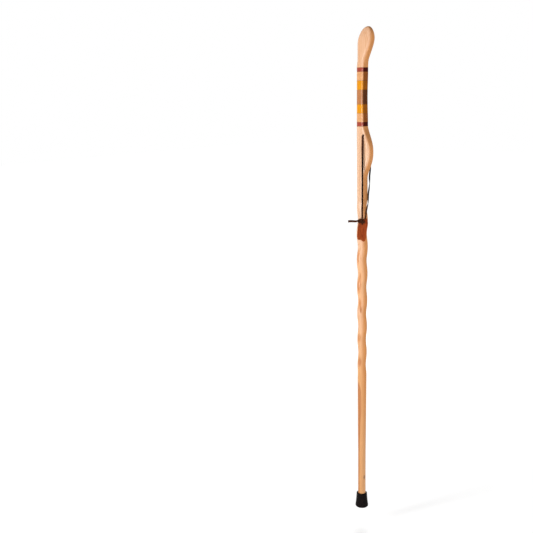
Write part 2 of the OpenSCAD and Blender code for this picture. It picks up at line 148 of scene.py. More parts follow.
class StaffWood(PropertyGroup):
    """Sizes of the wooden pieces and the ferrule."""

    stock_half: size("Half thickness", "Half the board's thickness across its flat sides", 13 * MM)
    grip_half: size("Half depth", "Half the depth of the plain grip", 13 * MM)
    grip_edge_r: size("Grip edge", "Radius of the grip's long edges", 5 * MM)
    grip_hollow: size("Grip hollow", "How far the grip's front is hollowed at its middle", 1.8 * MM)
    knob_front: size("Knob front", "Reach of the knob's front from the middle line", 38 * MM)
    knob_edge_r: size("Knob edge", "Radius of the knob's long edges", 10 * MM)
    knob_edge_rise: size("Knob edge rise", "Height over which the knob's edges round off", 25 * MM)
    knob_peak_x: size("Knob peak", "How far the peak stands in front of the middle line", 20 * MM)
    knob_front_drop: size("Front drop", "Drop from the peak to the front's widest level", 29 * MM)
    knob_back_drop: size("Back drop", "Drop from the peak to where the back curves over", 53 * MM)
    knob_side_drop: size("Side drop", "Drop from the peak to where the sides curve over", 43 * MM)
    swell_front: size("Swell front", "Reach of the palm swell from the middle line", 35.2 * MM)
    swell_drop: size("Swell drop", "Drop from the bands to the fullest level", 74 * MM)
    swell_len: size("Swell length", "Length of the swell below the bands", 152 * MM)
    swell_edge_r: size("Swell edge", "Radius of the swell's front edges", 10 * MM)
    waist_half: size("Half waist", "Half the waist's width across flats", 12.7 * MM)
    waist_edge_r: size("Waist edge", "Edge radius of the waist", 6 * MM)
    waist_len: size("Waist length", "Length from the swell to the full spiral", 92 * MM)
    twist_len: size("Spiral length", "Length of the carved spiral", 522 * MM)
    twist_r: size("Spiral radius", "Radius over the crests near the top of the spiral", 16.4 * MM)
    twist_pitch: size("Spiral pitch", "Height that one turn climbs", 82 * MM)
    twist_depth: size("Groove depth", "Depth of the spiral groove at its top", 3.3 * MM)
    twist_foot_depth: size("Groove foot depth", "Depth of the spiral groove at its foot", 2.4 * MM)
    twist_fade: size("Groove fade", "Length over which the groove fades in or out", 45 * MM)
    stick_r: size("Stick radius", "Radius of the plain stick under the spiral", 12.7 * MM)
    ankle_r: size("Ankle radius", "Radius of the stick above the ferrule", 11.7 * MM)
    ankle_h: size("Ankle height", "Height where the stick starts to thicken", 170 * MM)
    calf_len: size("Calf length", "Length over which it thickens", 130 * MM)
    seat_r: size("Seat radius", "Radius of the turned seat in the ferrule", 11.1 * MM)
    hole_r: size("Lace hole", "Radius of the lace hole through the flat sides", 3.2 * MM)
    hole_bevel: size("Hole bevel", "Width of the eased edge round the lace hole", 1.2 * MM)
    rim_r: size("Ferrule rim", "Outer radius of the ferrule's rim", 16.4 * MM)
    base_r: size("Ferrule base", "Outer radius of the ferrule's base", 20.1 * MM)
    base_edge_r: size("Base edge", "Radius of the ferrule's lower edge", 3.6 * MM)


class StaffLeather(PropertyGroup):
    """Sizes of the lace and the tag."""

    lace_w: size("Lace width", "Width of the flat lace", 4.6 * MM)
    lace_t: size("Lace thickness", "Thickness of the lace", 2.2 * MM)
    tight_w: size("Drawn width", "Width of the lace where it is drawn tight in the knot", 3.8 * MM)
    hole_x: size("Hole place", "How far the lace hole lies in front of the middle line", 12 * MM)
    hole_drop: size("Hole drop", "Drop from the bands to the lace hole", 26 * MM)
    hole_w: size("Hole width", "Width of the lace where it lies flat at its hole", 5.4 * MM)
    spread_w: size("Spread width", "Width of the near strand where it spreads under the hole", 6.4 * MM)
    hung_w: size("Hanging width", "Width of the near strand where it hangs turned", 5.0 * MM)
    tail_w: size("Tail width", "Width of the lace's cut end", 6.8 * MM)
    knot_half_w: size("Knot half width", "Half the width of the knot's wraps", 8.5 * MM)
    knot_half_d: size("Knot half depth", "Half the depth of the knot's wraps", 5 * MM)
    knot_pitch: size("Knot pitch", "Height that one wrap climbs", 4.9 * MM)
    tag_t: size("Tag thickness", "Thickness of the tag's leather", 2 * MM)
    tag_hole_r: size("Tag hole", "Radius of the tag's punched hole", 3.4 * MM)
    tag_curl: size("Tag curl", "How far the tag's lower corner curls forward", 4 * MM)


class StaffFinish(PropertyGroup):
    """Colours of the materials."""

    pale: colour("Pale wood", "Early wood of the knob and the shaft", (0.93, 0.56, 0.345))
    pale_late: colour("Pale wood layers", "Late wood of the knob and the shaft", (0.70, 0.32, 0.13))
    foot: colour("Lower stick", "Early wood near the foot of the stick", (0.775, 0.392, 0.154))
    waist: colour("Waist", "Early wood at the swell and the waist", (0.94, 0.61, 0.405))
    red: colour("Red wood", "Early wood of the red blocks", (0.45, 0.082, 0.048))
    tan: colour("Tan wood", "Early wood of the tan blocks", (0.88, 0.45, 0.205))
    amber: colour("Amber wood", "Early wood of the amber blocks", (0.90, 0.37, 0.010))
    walnut: colour("Brown wood", "Early wood of the brown block", (0.62, 0.255, 0.095))
    lace: colour("Lace", "Oiled leather of the lace", (0.007, 0.003, 0.0025))
    tag: colour("Tag", "Reddish leather of the tag", (0.35, 0.06, 0.016))
    rubber: colour("Rubber", "Moulded rubber of the ferrule", (0.007, 0.0055, 0.0055))


class StaffStage(PropertyGroup):
    """Camera and light."""

    azimuth: angle("Azimuth", "Side that the camera looks from, turned from the flat side", 37.0)
    distance: size("Distance", "Level distance from the staff to the camera", 2.43)
    height: size("Height", "Height of the camera above the ferrule's sole", 1.30)
    pan: angle("Pan", "Turn of the camera to the left of the staff", 6.78)
    tilt: angle("Tilt", "Tilt of the camera below the horizon", 12.0)
    roll: angle("Roll", "Turn of the camera about its own axis", -1.32)
    lens: share("Lens", "Focal length in millimetres on a 36 mm sensor", 55.6)
    ambient: share("Ambient", "Brightness of the light from all sides", 0.79)
    key: share("Key", "Power of the lamp on the left in watts", 23.5)
    fill: share("Fill", "Power of the soft lamp on the right in watts", 11.0)
    back: share("Back", "Power of the soft lamp high behind the staff in watts", 25.0)


def mix(a, b, t):
    """Straight step from a to b."""
    return a + (b - a) * t


def ramp(z, start, end):
    """0 at start, 1 at end, straight between."""
    return np.clip((z - start) / (end - start), 0.0, 1.0)


def ease(t):
    """Smooth step: three t squared less two t cubed."""
    return t * t * (3.0 - 2.0 * t)


def quarter_arc(t):
    """A quarter circle that falls from 1 to 0."""
    return np.sqrt(np.maximum(0.0, 1.0 - t * t))


def unit(vectors):
    """Each vector over its own length."""
    return vectors / np.linalg.norm(vectors, axis=-1, keepdims=True)


def soften(radius, most):
    """Reach and power of a corner, from its radius and the roundest that it may be."""
    roundness = ramp(radius / most, SOFT_UP_TO, 1.0)
    reach = np.minimum(radius * mix(SOFT_REACH, 1.0, roundness), most)
    return reach, mix(SOFT_POWER, CIRCLE_POWER, roundness)


def sections(front, back, half, front_r, back_r):
    """Rounded rectangles, one for each level, as [level, point, xy].

    Each reaches from -back to front and to both flat sides. Four corners are joined by straight flats,
    anticlockwise from above. A corner is a quarter superellipse: a circle where it is as round as it
    can be, and otherwise longer than its radius, so that it leaves the flats softly.
    """
    most = ROUNDEST * np.minimum(half, (front + back) / 2)
    (nose, nose_power), (heel, heel_power) = (soften(r, most) for r in (front_r, back_r))
    turn = np.linspace(0.0, TURN / 4, CORNER_STEPS + 1)
    corners = []
    for quarter, (x, y, r, power) in enumerate((
        (front - nose, half - nose, nose, nose_power),
        (heel - back, half - heel, heel, heel_power),
        (heel - back, heel - half, heel, heel_power),
        (front - nose, nose - half, nose, nose_power),
    )):
        a = turn + quarter * TURN / 4
        bent = CIRCLE_POWER / power[:, None]
        corners.append(np.stack([
            x[:, None] + r[:, None] * np.sign(np.cos(a)) * np.abs(np.cos(a)) ** bent,
            y[:, None] + r[:, None] * np.sign(np.sin(a)) * np.abs(np.sin(a)) ** bent,
        ], -1))
    along = np.linspace(0.0, 1.0, FLAT_STEPS + 2)[None, 1:-1, None]
    rows = []
    for here, after in zip(corners, corners[1:] + corners[:1]):
        rows += [here, mix(here[:, -1:], after[:, :1], along)]
    return np.concatenate(rows, 1)


def lift(outlines, levels):
    """Puts each outline at its level: [level, point, xyz]."""
    z = np.broadcast_to(np.asarray(levels)[:, None, None], outlines.shape[:2] + (1,))
    return np.concatenate([outlines, z], -1)


def ring(outline, radius, level):
    """A circle at a level whose points face those of an outline."""
    return lift((unit(outline) * radius)[None], [level])


def grid_mesh(name, rows, first=None, last=None, looped=False, marks=None):
    """One closed mesh over a grid of points.

    Columns run anticlockwise and close on themselves. Rows close too if looped, and otherwise end in
    the points first and last. marks holds one value for each grid point, by attribute name.
    """
    count, columns = rows.shape[:2]
    points = rows.reshape(-1, 3)
    i = np.arange(count if looped else count - 1)[:, None]
    j = np.arange(columns)[None, :]
    after = (j + 1) % columns
    above = (i + 1) % count
    quads = np.stack([
        i * columns + j, i * columns + after, above * columns + after, above * columns + j
    ], -1).reshape(-1, 4)
    faces = quads.tolist()
    if not looped:
        tail = (count - 1) * columns
        poles = len(points)
        points = np.concatenate([points, [first, last]])
        j, after = j[0], after[0]
        faces += np.stack([np.full(columns, poles), after, j], -1).tolist()
        faces += np.stack([tail + j, tail + after, np.full(columns, poles + 1)], -1).tolist()
    mesh = bpy.data.meshes.new(name)
    mesh.from_pydata(points.tolist(), [], faces)
    for mark, values in (marks or {}).items():
        flat = np.zeros(len(points), np.float32)
        flat[: values.size] = values.ravel()
        mesh.attributes.new(mark, "FLOAT", "POINT").data.foreach_set("value", flat)
    smooth(mesh)
    return mesh


def smooth(mesh):
    """Shades a mesh smooth, apart from its sharp edges."""
    mesh.polygons.foreach_set("use_smooth", np.ones(len(mesh.polygons), bool))
    mesh.set_sharp_from_angle(angle=CREASE)
    mesh.update()


def add_piece(mesh, material, body, nodes):
    """Shows a mesh in place of packed nodes, on the body that carries them."""
    piece = bpy.data.objects.new(mesh.name, mesh)
    bpy.context.scene.collection.objects.link(piece)
    mesh.materials.append(material)
    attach(piece, body)
    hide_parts(*nodes)
    return piece


def mark_shaded_sides(mesh, low=None, high=None):
    """Marks how far the surface turns away from the flat sides, where it is painted in shade, fading in
    between two levels.

    A second mark says how well it is polished: best where it bends, because the flats are only sanded.
    A third marks where it faces up at a turned rim, where it is painted in shade.
    """
    count = len(mesh.vertices)
    normals = np.empty(count * 3, np.float32)
    places = np.empty(count * 3, np.float32)
    mesh.vertex_normals.foreach_get("vector", normals)
    mesh.vertices.foreach_get("co", places)
    turned = 1.0 - normals[1::3] ** 2
    # Painted shade: the sides turned away from the flat sides are marked to be painted darker
    shaded_side = ease(ramp(turned, *SHADED_SIDE_SPAN))
    if low is not None:
        shaded_side = shaded_side * ramp(places[2::3], low, high)
    polish = mix(FLAT_GLOSS, 1.0, ramp(turned, *POLISH_SPAN))
    # Painted shade on turned rims that face up, such as the knob's top
    top_rim_shade = ease(ramp(normals[2::3], *UP_SPAN)) * ease(ramp(turned, *RIM_SPAN))
    for name, values in (("shaded_side", shaded_side), ("polish", polish), ("top_rim_shade", top_rim_shade)):
        mesh.attributes.new(name, "FLOAT", "POINT").data.foreach_set("value", values.astype(np.float32))


class Tree:
    """Adds nodes to a shader tree. The methods return the output socket of what they add."""

    def __init__(self, tree):
        self.tree = tree

    def node(self, kind, inputs=None, **settings):
        made = self.tree.nodes.new(kind)
        for name, value in settings.items():
            setattr(made, name, value)
        for name, value in (inputs or {}).items():
            self.feed(made.inputs[name], value)
        return made

    def feed(self, socket, value):
        if isinstance(value, bpy.types.NodeSocket):
            self.tree.links.new(value, socket)
        else:
            socket.default_value = value

    def math(self, operation, a, b=0.0, clamp=False):
        made = self.node("ShaderNodeMath", {0: a, 1: b}, operation=operation, use_clamp=clamp)
        return made.outputs[0]

    def line(self, value, slope, start):
        """The value times a slope, added to a start."""
        made = self.node("ShaderNodeMath", {0: value, 1: slope, 2: start}, operation="MULTIPLY_ADD")
        return made.outputs[0]

    def vector(self, operation, a, b=(0.0, 0.0, 0.0)):
        made = self.node("ShaderNodeVectorMath", {0: a, 1: b}, operation=operation)
        return made.outputs["Value" if operation in ("LENGTH", "DISTANCE") else "Vector"]

    def noise(self, position, stretch, detail=2.0, roughness=0.5):
        scaled = self.vector("MULTIPLY", position, stretch)
        settings = {"Vector": scaled, "Scale": 1.0, "Detail": detail, "Roughness": roughness}
        return self.node("ShaderNodeTexNoise", settings).outputs[0]

    def span(self, value, low, high):
        made = self.node(
            "ShaderNodeMapRange", {0: value, 1: low, 2: high}, interpolation_type="SMOOTHSTEP"
        )
        return made.outputs[0]

    def curve(self, value, stops):
        made = self.node("ShaderNodeValToRGB", {0: value})
        elements = made.color_ramp.elements
        while len(elements) < len(stops):
            elements.new(1.0)
        for element, (place, level) in zip(elements, stops):
            element.position = place
            element.color = (level, level, level, 1.0)
        return made.outputs[0]

    def blend(self, amount, a, b):
        made = self.node("ShaderNodeMix", {0: amount, 6: rgba(a), 7: rgba(b)}, data_type="RGBA")
        return made.outputs[2]

    def attribute(self, name):
        return self.node("ShaderNodeAttribute", attribute_name=name).outputs["Fac"]

    def position(self):
        return self.node("ShaderNodeTexCoord").outputs["Object"]

    def bump(self, height, strength, distance):
        return self.node(
            "ShaderNodeBump", {"Height": height, "Strength": strength, "Distance": distance}
        ).outputs[0]


def rgba(value):
    """A colour with its alpha, or a socket as it is."""
    if isinstance(value, bpy.types.NodeSocket):
        return value
    return (*value, 1.0)


def new_group(name, inputs, outputs):
    """An empty node group with float outputs: itself, its tree, its inputs and its outputs."""
    group = bpy.data.node_groups.new(name, "ShaderNodeTree")
    for socket, kind in inputs:
        group.interface.new_socket(name=socket, in_out="INPUT", socket_type=kind)
    for socket in outputs:
        group.interface.new_socket(name=socket, in_out="OUTPUT", socket_type="NodeSocketFloat")
    tree = Tree(group)
    return group, tree, tree.node("NodeGroupInput").outputs, tree.node("NodeGroupOutput").inputs


# A noise is given by its cells in a metre along X, Y and Z
SLOW_NOISE = (9.0, 9.0, 3.4)
FIBRE_NOISE = (900.0, 900.0, 16.0)
PORE_NOISE = (2400.0, 2400.0, 70.0)
FLAME_NOISE = (330.0, 330.0, 5.0)
OUTER_NOISE = (60.0, 60.0, 14.0)
# Places across one growth layer, and how dark it is there
LAYER_STOPS = ((0.0, 0.5), (0.1, 0.05), (0.5, 0.12), (0.93, 1.0), (1.0, 0.5))
# The weakest layer, as a share of the strongest
WEAK_LAYER = 0.25
# Levels of the noise between which each effect fades in
PORE_SPAN = (0.6, 0.74)
FIBRE_SPAN = (0.35, 0.75)
FLAME_SPAN = (0.45, 0.68)


def timber_group():
    """Figure of timber whose fibre runs along Z.

    Layers: the distance from the pith, bent by slow noise, over the layers' width; each layer darkens
    slowly and ends sharply, and some layers are stronger than others. Fibre: noise drawn out along Z.
    Pores: the darkest threads of a finer noise.
    """
    group, tree, given, wanted = new_group(
        "Timber figure",
        (("Position", "NodeSocketVector"), ("Pith", "NodeSocketVector"),
         ("Layer width", "NodeSocketFloat"), ("Wander", "NodeSocketFloat")),
        ("Layers", "Fibre", "Pores"),
    )
    position = given["Position"]
    slow = tree.node(
        "ShaderNodeTexNoise",
        {"Vector": tree.vector("MULTIPLY", position, SLOW_NOISE), "Scale": 1.0, "Detail": 2.0},
    ).outputs["Color"]
    bend = tree.vector("SUBTRACT", slow, (0.5, 0.5, 0.5))
    strength = tree.node("ShaderNodeCombineXYZ", {0: given["Wander"], 1: given["Wander"]}).outputs[0]
    bent = tree.vector("ADD", position, tree.vector("MULTIPLY", bend, strength))
    from_pith = tree.vector("MULTIPLY", tree.vector("SUBTRACT", bent, given["Pith"]), (1.0, 1.0, 0.0))
    count = tree.math("DIVIDE", tree.vector("LENGTH", from_pith), given["Layer width"])
    inside = tree.math("FRACT", count)
    late = tree.curve(inside, LAYER_STOPS)
    which = tree.math("FLOOR", count)
    drawn = tree.node("ShaderNodeTexWhiteNoise", {"W": which}, noise_dimensions="1D").outputs["Value"]
    weight = tree.line(drawn, 1.0 - WEAK_LAYER, WEAK_LAYER)
    tree.feed(wanted["Layers"], tree.math("MULTIPLY", late, weight))
    tree.feed(wanted["Fibre"], tree.noise(position, FIBRE_NOISE, detail=3.0, roughness=0.6))
    threads = tree.noise(position, PORE_NOISE, detail=1.0)
    tree.feed(wanted["Pores"], tree.span(threads, *PORE_SPAN))
    return group


# Noises of the leather: its wrinkles, its patches of shade and the streaks painted as the shade of creases
WRINKLE_NOISE = (1500.0, 1500.0, 500.0)
PATCH_NOISE = (160.0, 160.0, 60.0)
CREASE_NOISE = (420.0, 420.0, 45.0)
# Height of the pebbled cells against the wrinkles
PEBBLE = 0.6


def leather_group():
    """Grain of leather: a pebble of rounded cells with fine wrinkles, and slow patches of shade."""
    group, tree, given, wanted = new_group(
        "Leather grain",
        (("Position", "NodeSocketVector"), ("Cells", "NodeSocketFloat")),
        ("Height", "Shade"),
    )
    position = given["Position"]
    cells = tree.node("ShaderNodeTexVoronoi", {"Vector": position, "Scale": given["Cells"]})
    pebble = tree.math("MULTIPLY", cells.outputs["Distance"], PEBBLE)
    wrinkles = tree.noise(position, WRINKLE_NOISE, detail=4.0, roughness=0.65)
    tree.feed(wanted["Height"], tree.math("ADD", pebble, wrinkles))
    tree.feed(wanted["Shade"], tree.noise(position, PATCH_NOISE, detail=4.0, roughness=0.6))
    return group


def shared(name, build):
    """The node group of that name, built the first time that it is asked for."""
    return bpy.data.node_groups.get(name) or build()


def new_material(name, roughness=0.5, specular=0.5):
    """A material with plain values set: itself, its tree and the inputs of its Principled shader."""
    material = bpy.data.materials.new(name)
    material.use_nodes = True
    shader = material.node_tree.nodes["Principled BSDF"]
    shader.inputs["Roughness"].default_value = roughness
    shader.inputs["Specular IOR Level"].default_value = specular
    return material, Tree(material.node_tree), shader.inputs


# Heights in metres between which the pale wood's tones fade: foot to stick, stick to waist, waist to grip
FOOT_FADE = (0.4, 0.7)
WAIST_FADE = (0.8, 0.88)
GRIP_FADE = (1.3, 1.2)
# The pith lies far behind the staff. Pairs of a height in metres and a depth, as a share of the unit,
# say how far out from the staff's middle the darker outermost wood starts: a real streak, deepened as
# painted shade, on the side towards -Y. It shows along one side of the lower stick only, because it
# starts outside the wood further up.
PITH_AWAY = 300 * MM
PITH_TURN = math.radians(18)
OUTER_UNIT = 20 * MM
OUTER_STARTS = (
    (0.05, 0.56), (0.2, 0.56), (0.28, 0.54), (0.33, 0.45), (0.39, 0.51), (0.42, 0.7), (0.45, 1.0),
)
OUTER_EDGE = 0.9 * MM
OUTER_WANDER = 1.6 * MM
OUTER_STRENGTH = 0.9
# A mark is at full strength inside this share of its radius
MARK_CORE = 0.35
# Tone of the late wood on the turned sides, which are painted in shade, as a share of the early wood's
# there
SHADED_LATE_SHARE = 0.55
# How strongly the painted shade of upward-facing rims and the dark glue joints darken the wood, and the
# glue's tone
TOP_RIM_SHADE_STRENGTH = 0.9
GLUE_STRENGTH = 0.6
GLUE_TONE = (0.05, 0.02, 0.01)
# Strength and depth of the open grain
GRAIN_STRENGTH = 0.12
GRAIN_DEPTH = 0.15 * MM


def outermost_wood_and_shade(tree, base, position, height, pith, outer_and_shade):
    """Blends to the darker outermost tone, a real streak deepened as painted shade, where the distance from
    the pith passes its wandering start.
    """
    away = tree.vector("DISTANCE", tree.vector("MULTIPLY", position, (1.0, 1.0, 0.0)), pith)
    drawn = tree.noise(position, OUTER_NOISE, detail=3.0, roughness=0.6)
    wavy = tree.line(drawn, OUTER_WANDER, -OUTER_WANDER / 2 - PITH_AWAY)
    start = tree.math("MULTIPLY", tree.curve(height, OUTER_STARTS), OUTER_UNIT)
    past = tree.math("SUBTRACT", tree.math("ADD", away, wavy), start)
    inside = tree.math("MULTIPLY", tree.span(past, -OUTER_EDGE, OUTER_EDGE), OUTER_STRENGTH)
    return tree.blend(inside, base, outer_and_shade)


def wood(name, early, late, end, pith, layer_width, wander, fibre=0.25, pores=0.0, varnish=0.85,
         satin=0.24, cross_laid=False, figured=1.0, flame=0.0, foot=None, waist=None, outer_and_shade=None,
         dark_marks=()):
    """Varnished timber.

    early and late are the tones of its growth layers, and end the darker tone painted on its front and
    back, a painted shade of the sides turned away from the flat sides. satin is the roughness of the
    varnish.
    cross_laid turns the fibre from Z to X. figured says how strongly the layers show, and flame how
    strongly broad streaks do. foot and waist are the early tones low on the staff and under the grip, outer
    the tone of the wood furthest from the pith, a real darker streak deepened as painted shade, and
    dark_marks lists knots and ovals: centre, radius, how much longer than wide they are, tone.
    """
    material, tree, surface = new_material(name, specular=0.0)
    surface["Coat Roughness"].default_value = satin
    position = tree.position()
    if cross_laid:
        turned = tree.node("ShaderNodeMapping", {"Vector": position, "Rotation": (0.0, TURN / 4, 0.0)})
        grain_position = turned.outputs[0]
    else:
        grain_position = position
    figure = tree.node("ShaderNodeGroup", node_tree=shared("Timber figure", timber_group))
    for socket, value in (
        ("Position", grain_position), ("Pith", pith), ("Layer width", layer_width), ("Wander", wander),
    ):
        tree.feed(figure.inputs[socket], value)
    base = early
    if foot:
        height = tree.node("ShaderNodeSeparateXYZ", {0: position}).outputs[2]
        base = tree.blend(tree.span(height, *FOOT_FADE), foot, early)
        middle = tree.math("MULTIPLY", tree.span(height, *WAIST_FADE), tree.span(height, *GRIP_FADE))
        base = tree.blend(middle, base, waist)
        # The outermost wood's streak, deepened as painted shade on the side towards -Y
        base = outermost_wood_and_shade(tree, base, position, height, pith, outer_and_shade)
    shaded_side = tree.attribute("shaded_side")
    layers = tree.math("MULTIPLY", figure.outputs["Layers"], figured)
    shaded_late = [SHADED_LATE_SHARE * level for level in end]
    # Painted shade: the turned sides take the darker end tones
    tone = tree.blend(shaded_side, tree.blend(layers, base, late), tree.blend(layers, end, shaded_late))
    streak = tree.math("MULTIPLY", tree.span(figure.outputs["Fibre"], *FIBRE_SPAN), fibre)
    tone = tree.blend(streak, tone, late)
    if flame:
        broad = tree.span(tree.noise(grain_position, FLAME_NOISE), *FLAME_SPAN)
        tone = tree.blend(tree.math("MULTIPLY", broad, flame), tone, late)
    if pores:
        tone = tree.blend(tree.math("MULTIPLY", figure.outputs["Pores"], pores), tone, end)
    for (x, y, z), radius, stretch, dark in dark_marks:
        squeezed = tree.vector("MULTIPLY", position, (1.0, 1.0, 1.0 / stretch))
        away = tree.vector("DISTANCE", squeezed, (x * MM, y * MM, z * MM / stretch))
        tone = tree.blend(tree.span(away, radius * MM, radius * MM * MARK_CORE), tone, dark)
    # Painted shade: upward-facing rims darkened towards the shaded late tone
    tone = tree.blend(tree.math("MULTIPLY", tree.attribute("top_rim_shade"), TOP_RIM_SHADE_STRENGTH), tone, shaded_late)
    tone = tree.blend(tree.math("MULTIPLY", tree.attribute("glue"), GLUE_STRENGTH), tone, GLUE_TONE)
    tree.feed(surface["Base Color"], tone)
    gloss = tree.math("MULTIPLY", tree.math("SUBTRACT", 1.0, shaded_side), tree.attribute("polish"))
    tree.feed(surface["Coat Weight"], tree.math("MULTIPLY", gloss, varnish))
    relief = tree.math("SUBTRACT", figure.outputs["Fibre"], figure.outputs["Pores"])
    tree.feed(surface["Normal"], tree.bump(relief, GRAIN_STRENGTH, GRAIN_DEPTH))
    return material


# The speck over the ferrule, the orange zone of the upper spiral and the ovals that the carving cuts
# on its crests: centre and radius in millimetres, how much longer than wide, and tone
DARK_MARKS = (
    ((11.4, -2.8, 102), 2.4, 4, (0.06, 0.015, 0.01)),
    ((0, -15, 735), 22, 4.6, (0.88, 0.47, 0.23)),
    ((-4.4, -15.4, 812), 10, 3, (0.72, 0.3, 0.11)),
    ((-1.2, -15.4, 726), 10, 3.4, (0.68, 0.26, 0.08)),
    ((2.8, -15.2, 750), 5, 4, (0.64, 0.25, 0.08)),
    ((1.6, -15, 667), 7, 3.6, (0.66, 0.25, 0.075)),
    ((4.4, -14.2, 651), 6, 2.8, (0.54, 0.19, 0.055)),
    ((-1.6, -14.2, 560), 9.5, 2, (0.68, 0.29, 0.1)),
    ((0.4, -13.9, 484), 8.5, 2.4, (0.6, 0.23, 0.08)),
)


# In each wood below, end is the darker tone painted on the turned sides as painted shade
def pale_wood(finish):
    """Pale hardwood of the knob and the shaft, more orange towards the foot."""
    return wood(
        "Pale wood", finish.pale, finish.pale_late, end=(0.88, 0.385, 0.14),
        pith=(PITH_AWAY * math.sin(PITH_TURN), PITH_AWAY * math.cos(PITH_TURN), 0.0),
        layer_width=1.7 * MM, wander=5 * MM, satin=0.3, figured=0.7, flame=0.45,
        # The outermost wood's tone is deepened as painted shade on the side towards -Y
        foot=finish.foot, waist=finish.waist, outer_and_shade=(0.46, 0.15, 0.038), dark_marks=DARK_MARKS,
    )


def red_wood(finish):
    """Brick-red hardwood with quiet layers."""
    return wood(
        "Red wood", finish.red, (0.34, 0.05, 0.03), end=(0.062, 0.009, 0.007),
        pith=(0.3, 0.05, 0.02), layer_width=1.6 * MM, wander=3 * MM, cross_laid=True,
    )


def tan_wood(finish):
    """Tan hardwood with wavy layers across the grip."""
    return wood(
        "Tan wood", finish.tan, (0.66, 0.30, 0.11), end=(0.34, 0.095, 0.019),
        pith=(-1.25, 0.03, 0.0), layer_width=2.4 * MM, wander=8 * MM, cross_laid=True,
    )


def amber_wood(finish):
    """Golden wood with arched layers."""
    return wood(
        "Amber wood", finish.amber, (0.72, 0.25, 0.006), end=(0.38, 0.11, 0.013),
        pith=(-1.30, 0.02, 0.0), layer_width=2.8 * MM, wander=5 * MM, cross_laid=True,
    )


def walnut_wood(finish):
    """Brown open-pored wood with upright fibre."""
    return wood(
        "Walnut wood", finish.walnut, (0.42, 0.15, 0.055), end=(0.105, 0.032, 0.013),
        pith=(0.05, 0.09, 0.0), layer_width=3.4 * MM, wander=4 * MM, fibre=0.4, pores=0.5,
    )


def dowel_wood():
    """Plain unfinished dowel."""
    return wood(
        "Dowel wood", (0.72, 0.52, 0.32), (0.55, 0.36, 0.2), end=(0.6, 0.4, 0.22),
        pith=(0.0, 0.03, 0.0), layer_width=2 * MM, wander=2 * MM,
    )


# Noises of the steel's turning marks, the rubber's scuffs and its moulded grit, and their tones
TURNING_NOISE = (900.0, 900.0, 50.0)
SCUFF_NOISE = (260.0, 260.0, 420.0)
GRIT_NOISE = (1800.0, 1800.0, 1800.0)
SCUFF_SPAN = (0.5, 0.75)
SCUFF_TONE = (0.04, 0.022, 0.019)
DULL_STEEL = (0.46, 0.46, 0.47)
BRIGHT_STEEL = (0.68, 0.68, 0.69)


def washer_steel():
    """Zinc-coated steel with faint turning marks."""
    material, tree, surface = new_material("Washer steel")
    surface["Metallic"].default_value = 1.0
    marks = tree.noise(tree.position(), TURNING_NOISE, detail=3.0)
    tree.feed(surface["Base Color"], tree.blend(marks, DULL_STEEL, BRIGHT_STEEL))
    tree.feed(surface["Roughness"], tree.line(marks, slope=0.4, start=0.5))
    return material


def ferrule_rubber(finish):
    """Matt black rubber, greyer where it is scuffed."""
    material, tree, surface = new_material("Ferrule rubber", specular=0.03)
    position = tree.position()
    patches = tree.noise(position, SCUFF_NOISE, detail=5.0, roughness=0.7)
    scuffs = tree.span(patches, *SCUFF_SPAN)
    tree.feed(surface["Base Color"], tree.blend(scuffs, finish.rubber, SCUFF_TONE))
    tree.feed(surface["Roughness"], tree.line(scuffs, slope=0.25, start=0.5))
    grit = tree.noise(position, GRIT_NOISE)
    tree.feed(surface["Normal"], tree.bump(grit, strength=0.15, distance=0.1 * MM))
    return material


# Levels of the noises between which the leather's worn patches and the painted shade of creases fade in
WORN_SPAN = (0.42, 0.72)
CREASE_SPAN = (0.42, 0.66)
# How strongly the patches are worn, the tone of the painted crease shade as a share of the leather's, and
# the grain's depth
PATCH_STRENGTH = 0.3
CREASE_SHADE_TONE = 0.5
PEBBLE_DEPTH = 0.2 * MM


def leather(name, tone, worn, cells, roughness, specular, relief, crease_shade=0.0):
    """Leather: its tone is worn lighter in slow patches and at the edges, over a pebbled grain.

    cells is the number of pebbles in a metre, relief the strength of the grain, and creased says how
    strongly dark streaks run up and down it, painted as the shade of creases.
    """
    material, tree, surface = new_material(name, roughness, specular)
    position = tree.position()
    grain = tree.node("ShaderNodeGroup", node_tree=shared("Leather grain", leather_group))
    tree.feed(grain.inputs["Position"], position)
    tree.feed(grain.inputs["Cells"], cells)
    patches = tree.math("MULTIPLY", tree.span(grain.outputs["Shade"], *WORN_SPAN), PATCH_STRENGTH)
    rubbed = tree.math("ADD", patches, tree.attribute("edge"), clamp=True)
    shade = tree.blend(rubbed, tone, worn)
    if crease_shade:
        # Painted shade: dark streaks up and down the leather, standing for the shade of creases
        folds = tree.noise(position, CREASE_NOISE, detail=3.0, roughness=0.6)
        creases = tree.span(folds, *CREASE_SPAN)
        dark = [CREASE_SHADE_TONE * level for level in tone]
        shade = tree.blend(tree.math("MULTIPLY", creases, crease_shade), shade, dark)
    tree.feed(surface["Base Color"], shade)
    tree.feed(surface["Normal"], tree.bump(grain.outputs["Height"], relief, PEBBLE_DEPTH))
    return material


def lace_leather(finish):
    """Dark oiled leather with a gloss on its flats."""
    return leather(
        "Lace leather", finish.lace, worn=(0.095, 0.03, 0.014), cells=900.0, roughness=0.42,
        specular=0.02, relief=0.25,
    )


def tag_leather(finish):
    """Reddish leather with a matt nap, painted shade of creases and lighter cut edges."""
    return leather(
        "Tag leather", finish.tag, worn=(0.50, 0.12, 0.025), cells=700.0, roughness=0.75,
        specular=0.04, relief=0.4, crease_shade=0.7,
    )


def end_reach(levels, low, high):
    """1 at a glue joint, fading to 0 at the glue's reach."""
    return 1.0 - ramp(np.minimum(levels - low, high - levels), 0.0, GLUE_REACH)


# Levels of the knob, of one block, and of the stick, the spiral and the swell
KNOB_LEVELS = 160
BLOCK_LEVELS = 12
STICK_LEVELS = 64
TWIST_LEVELS = 350
SWELL_LEVELS = 125


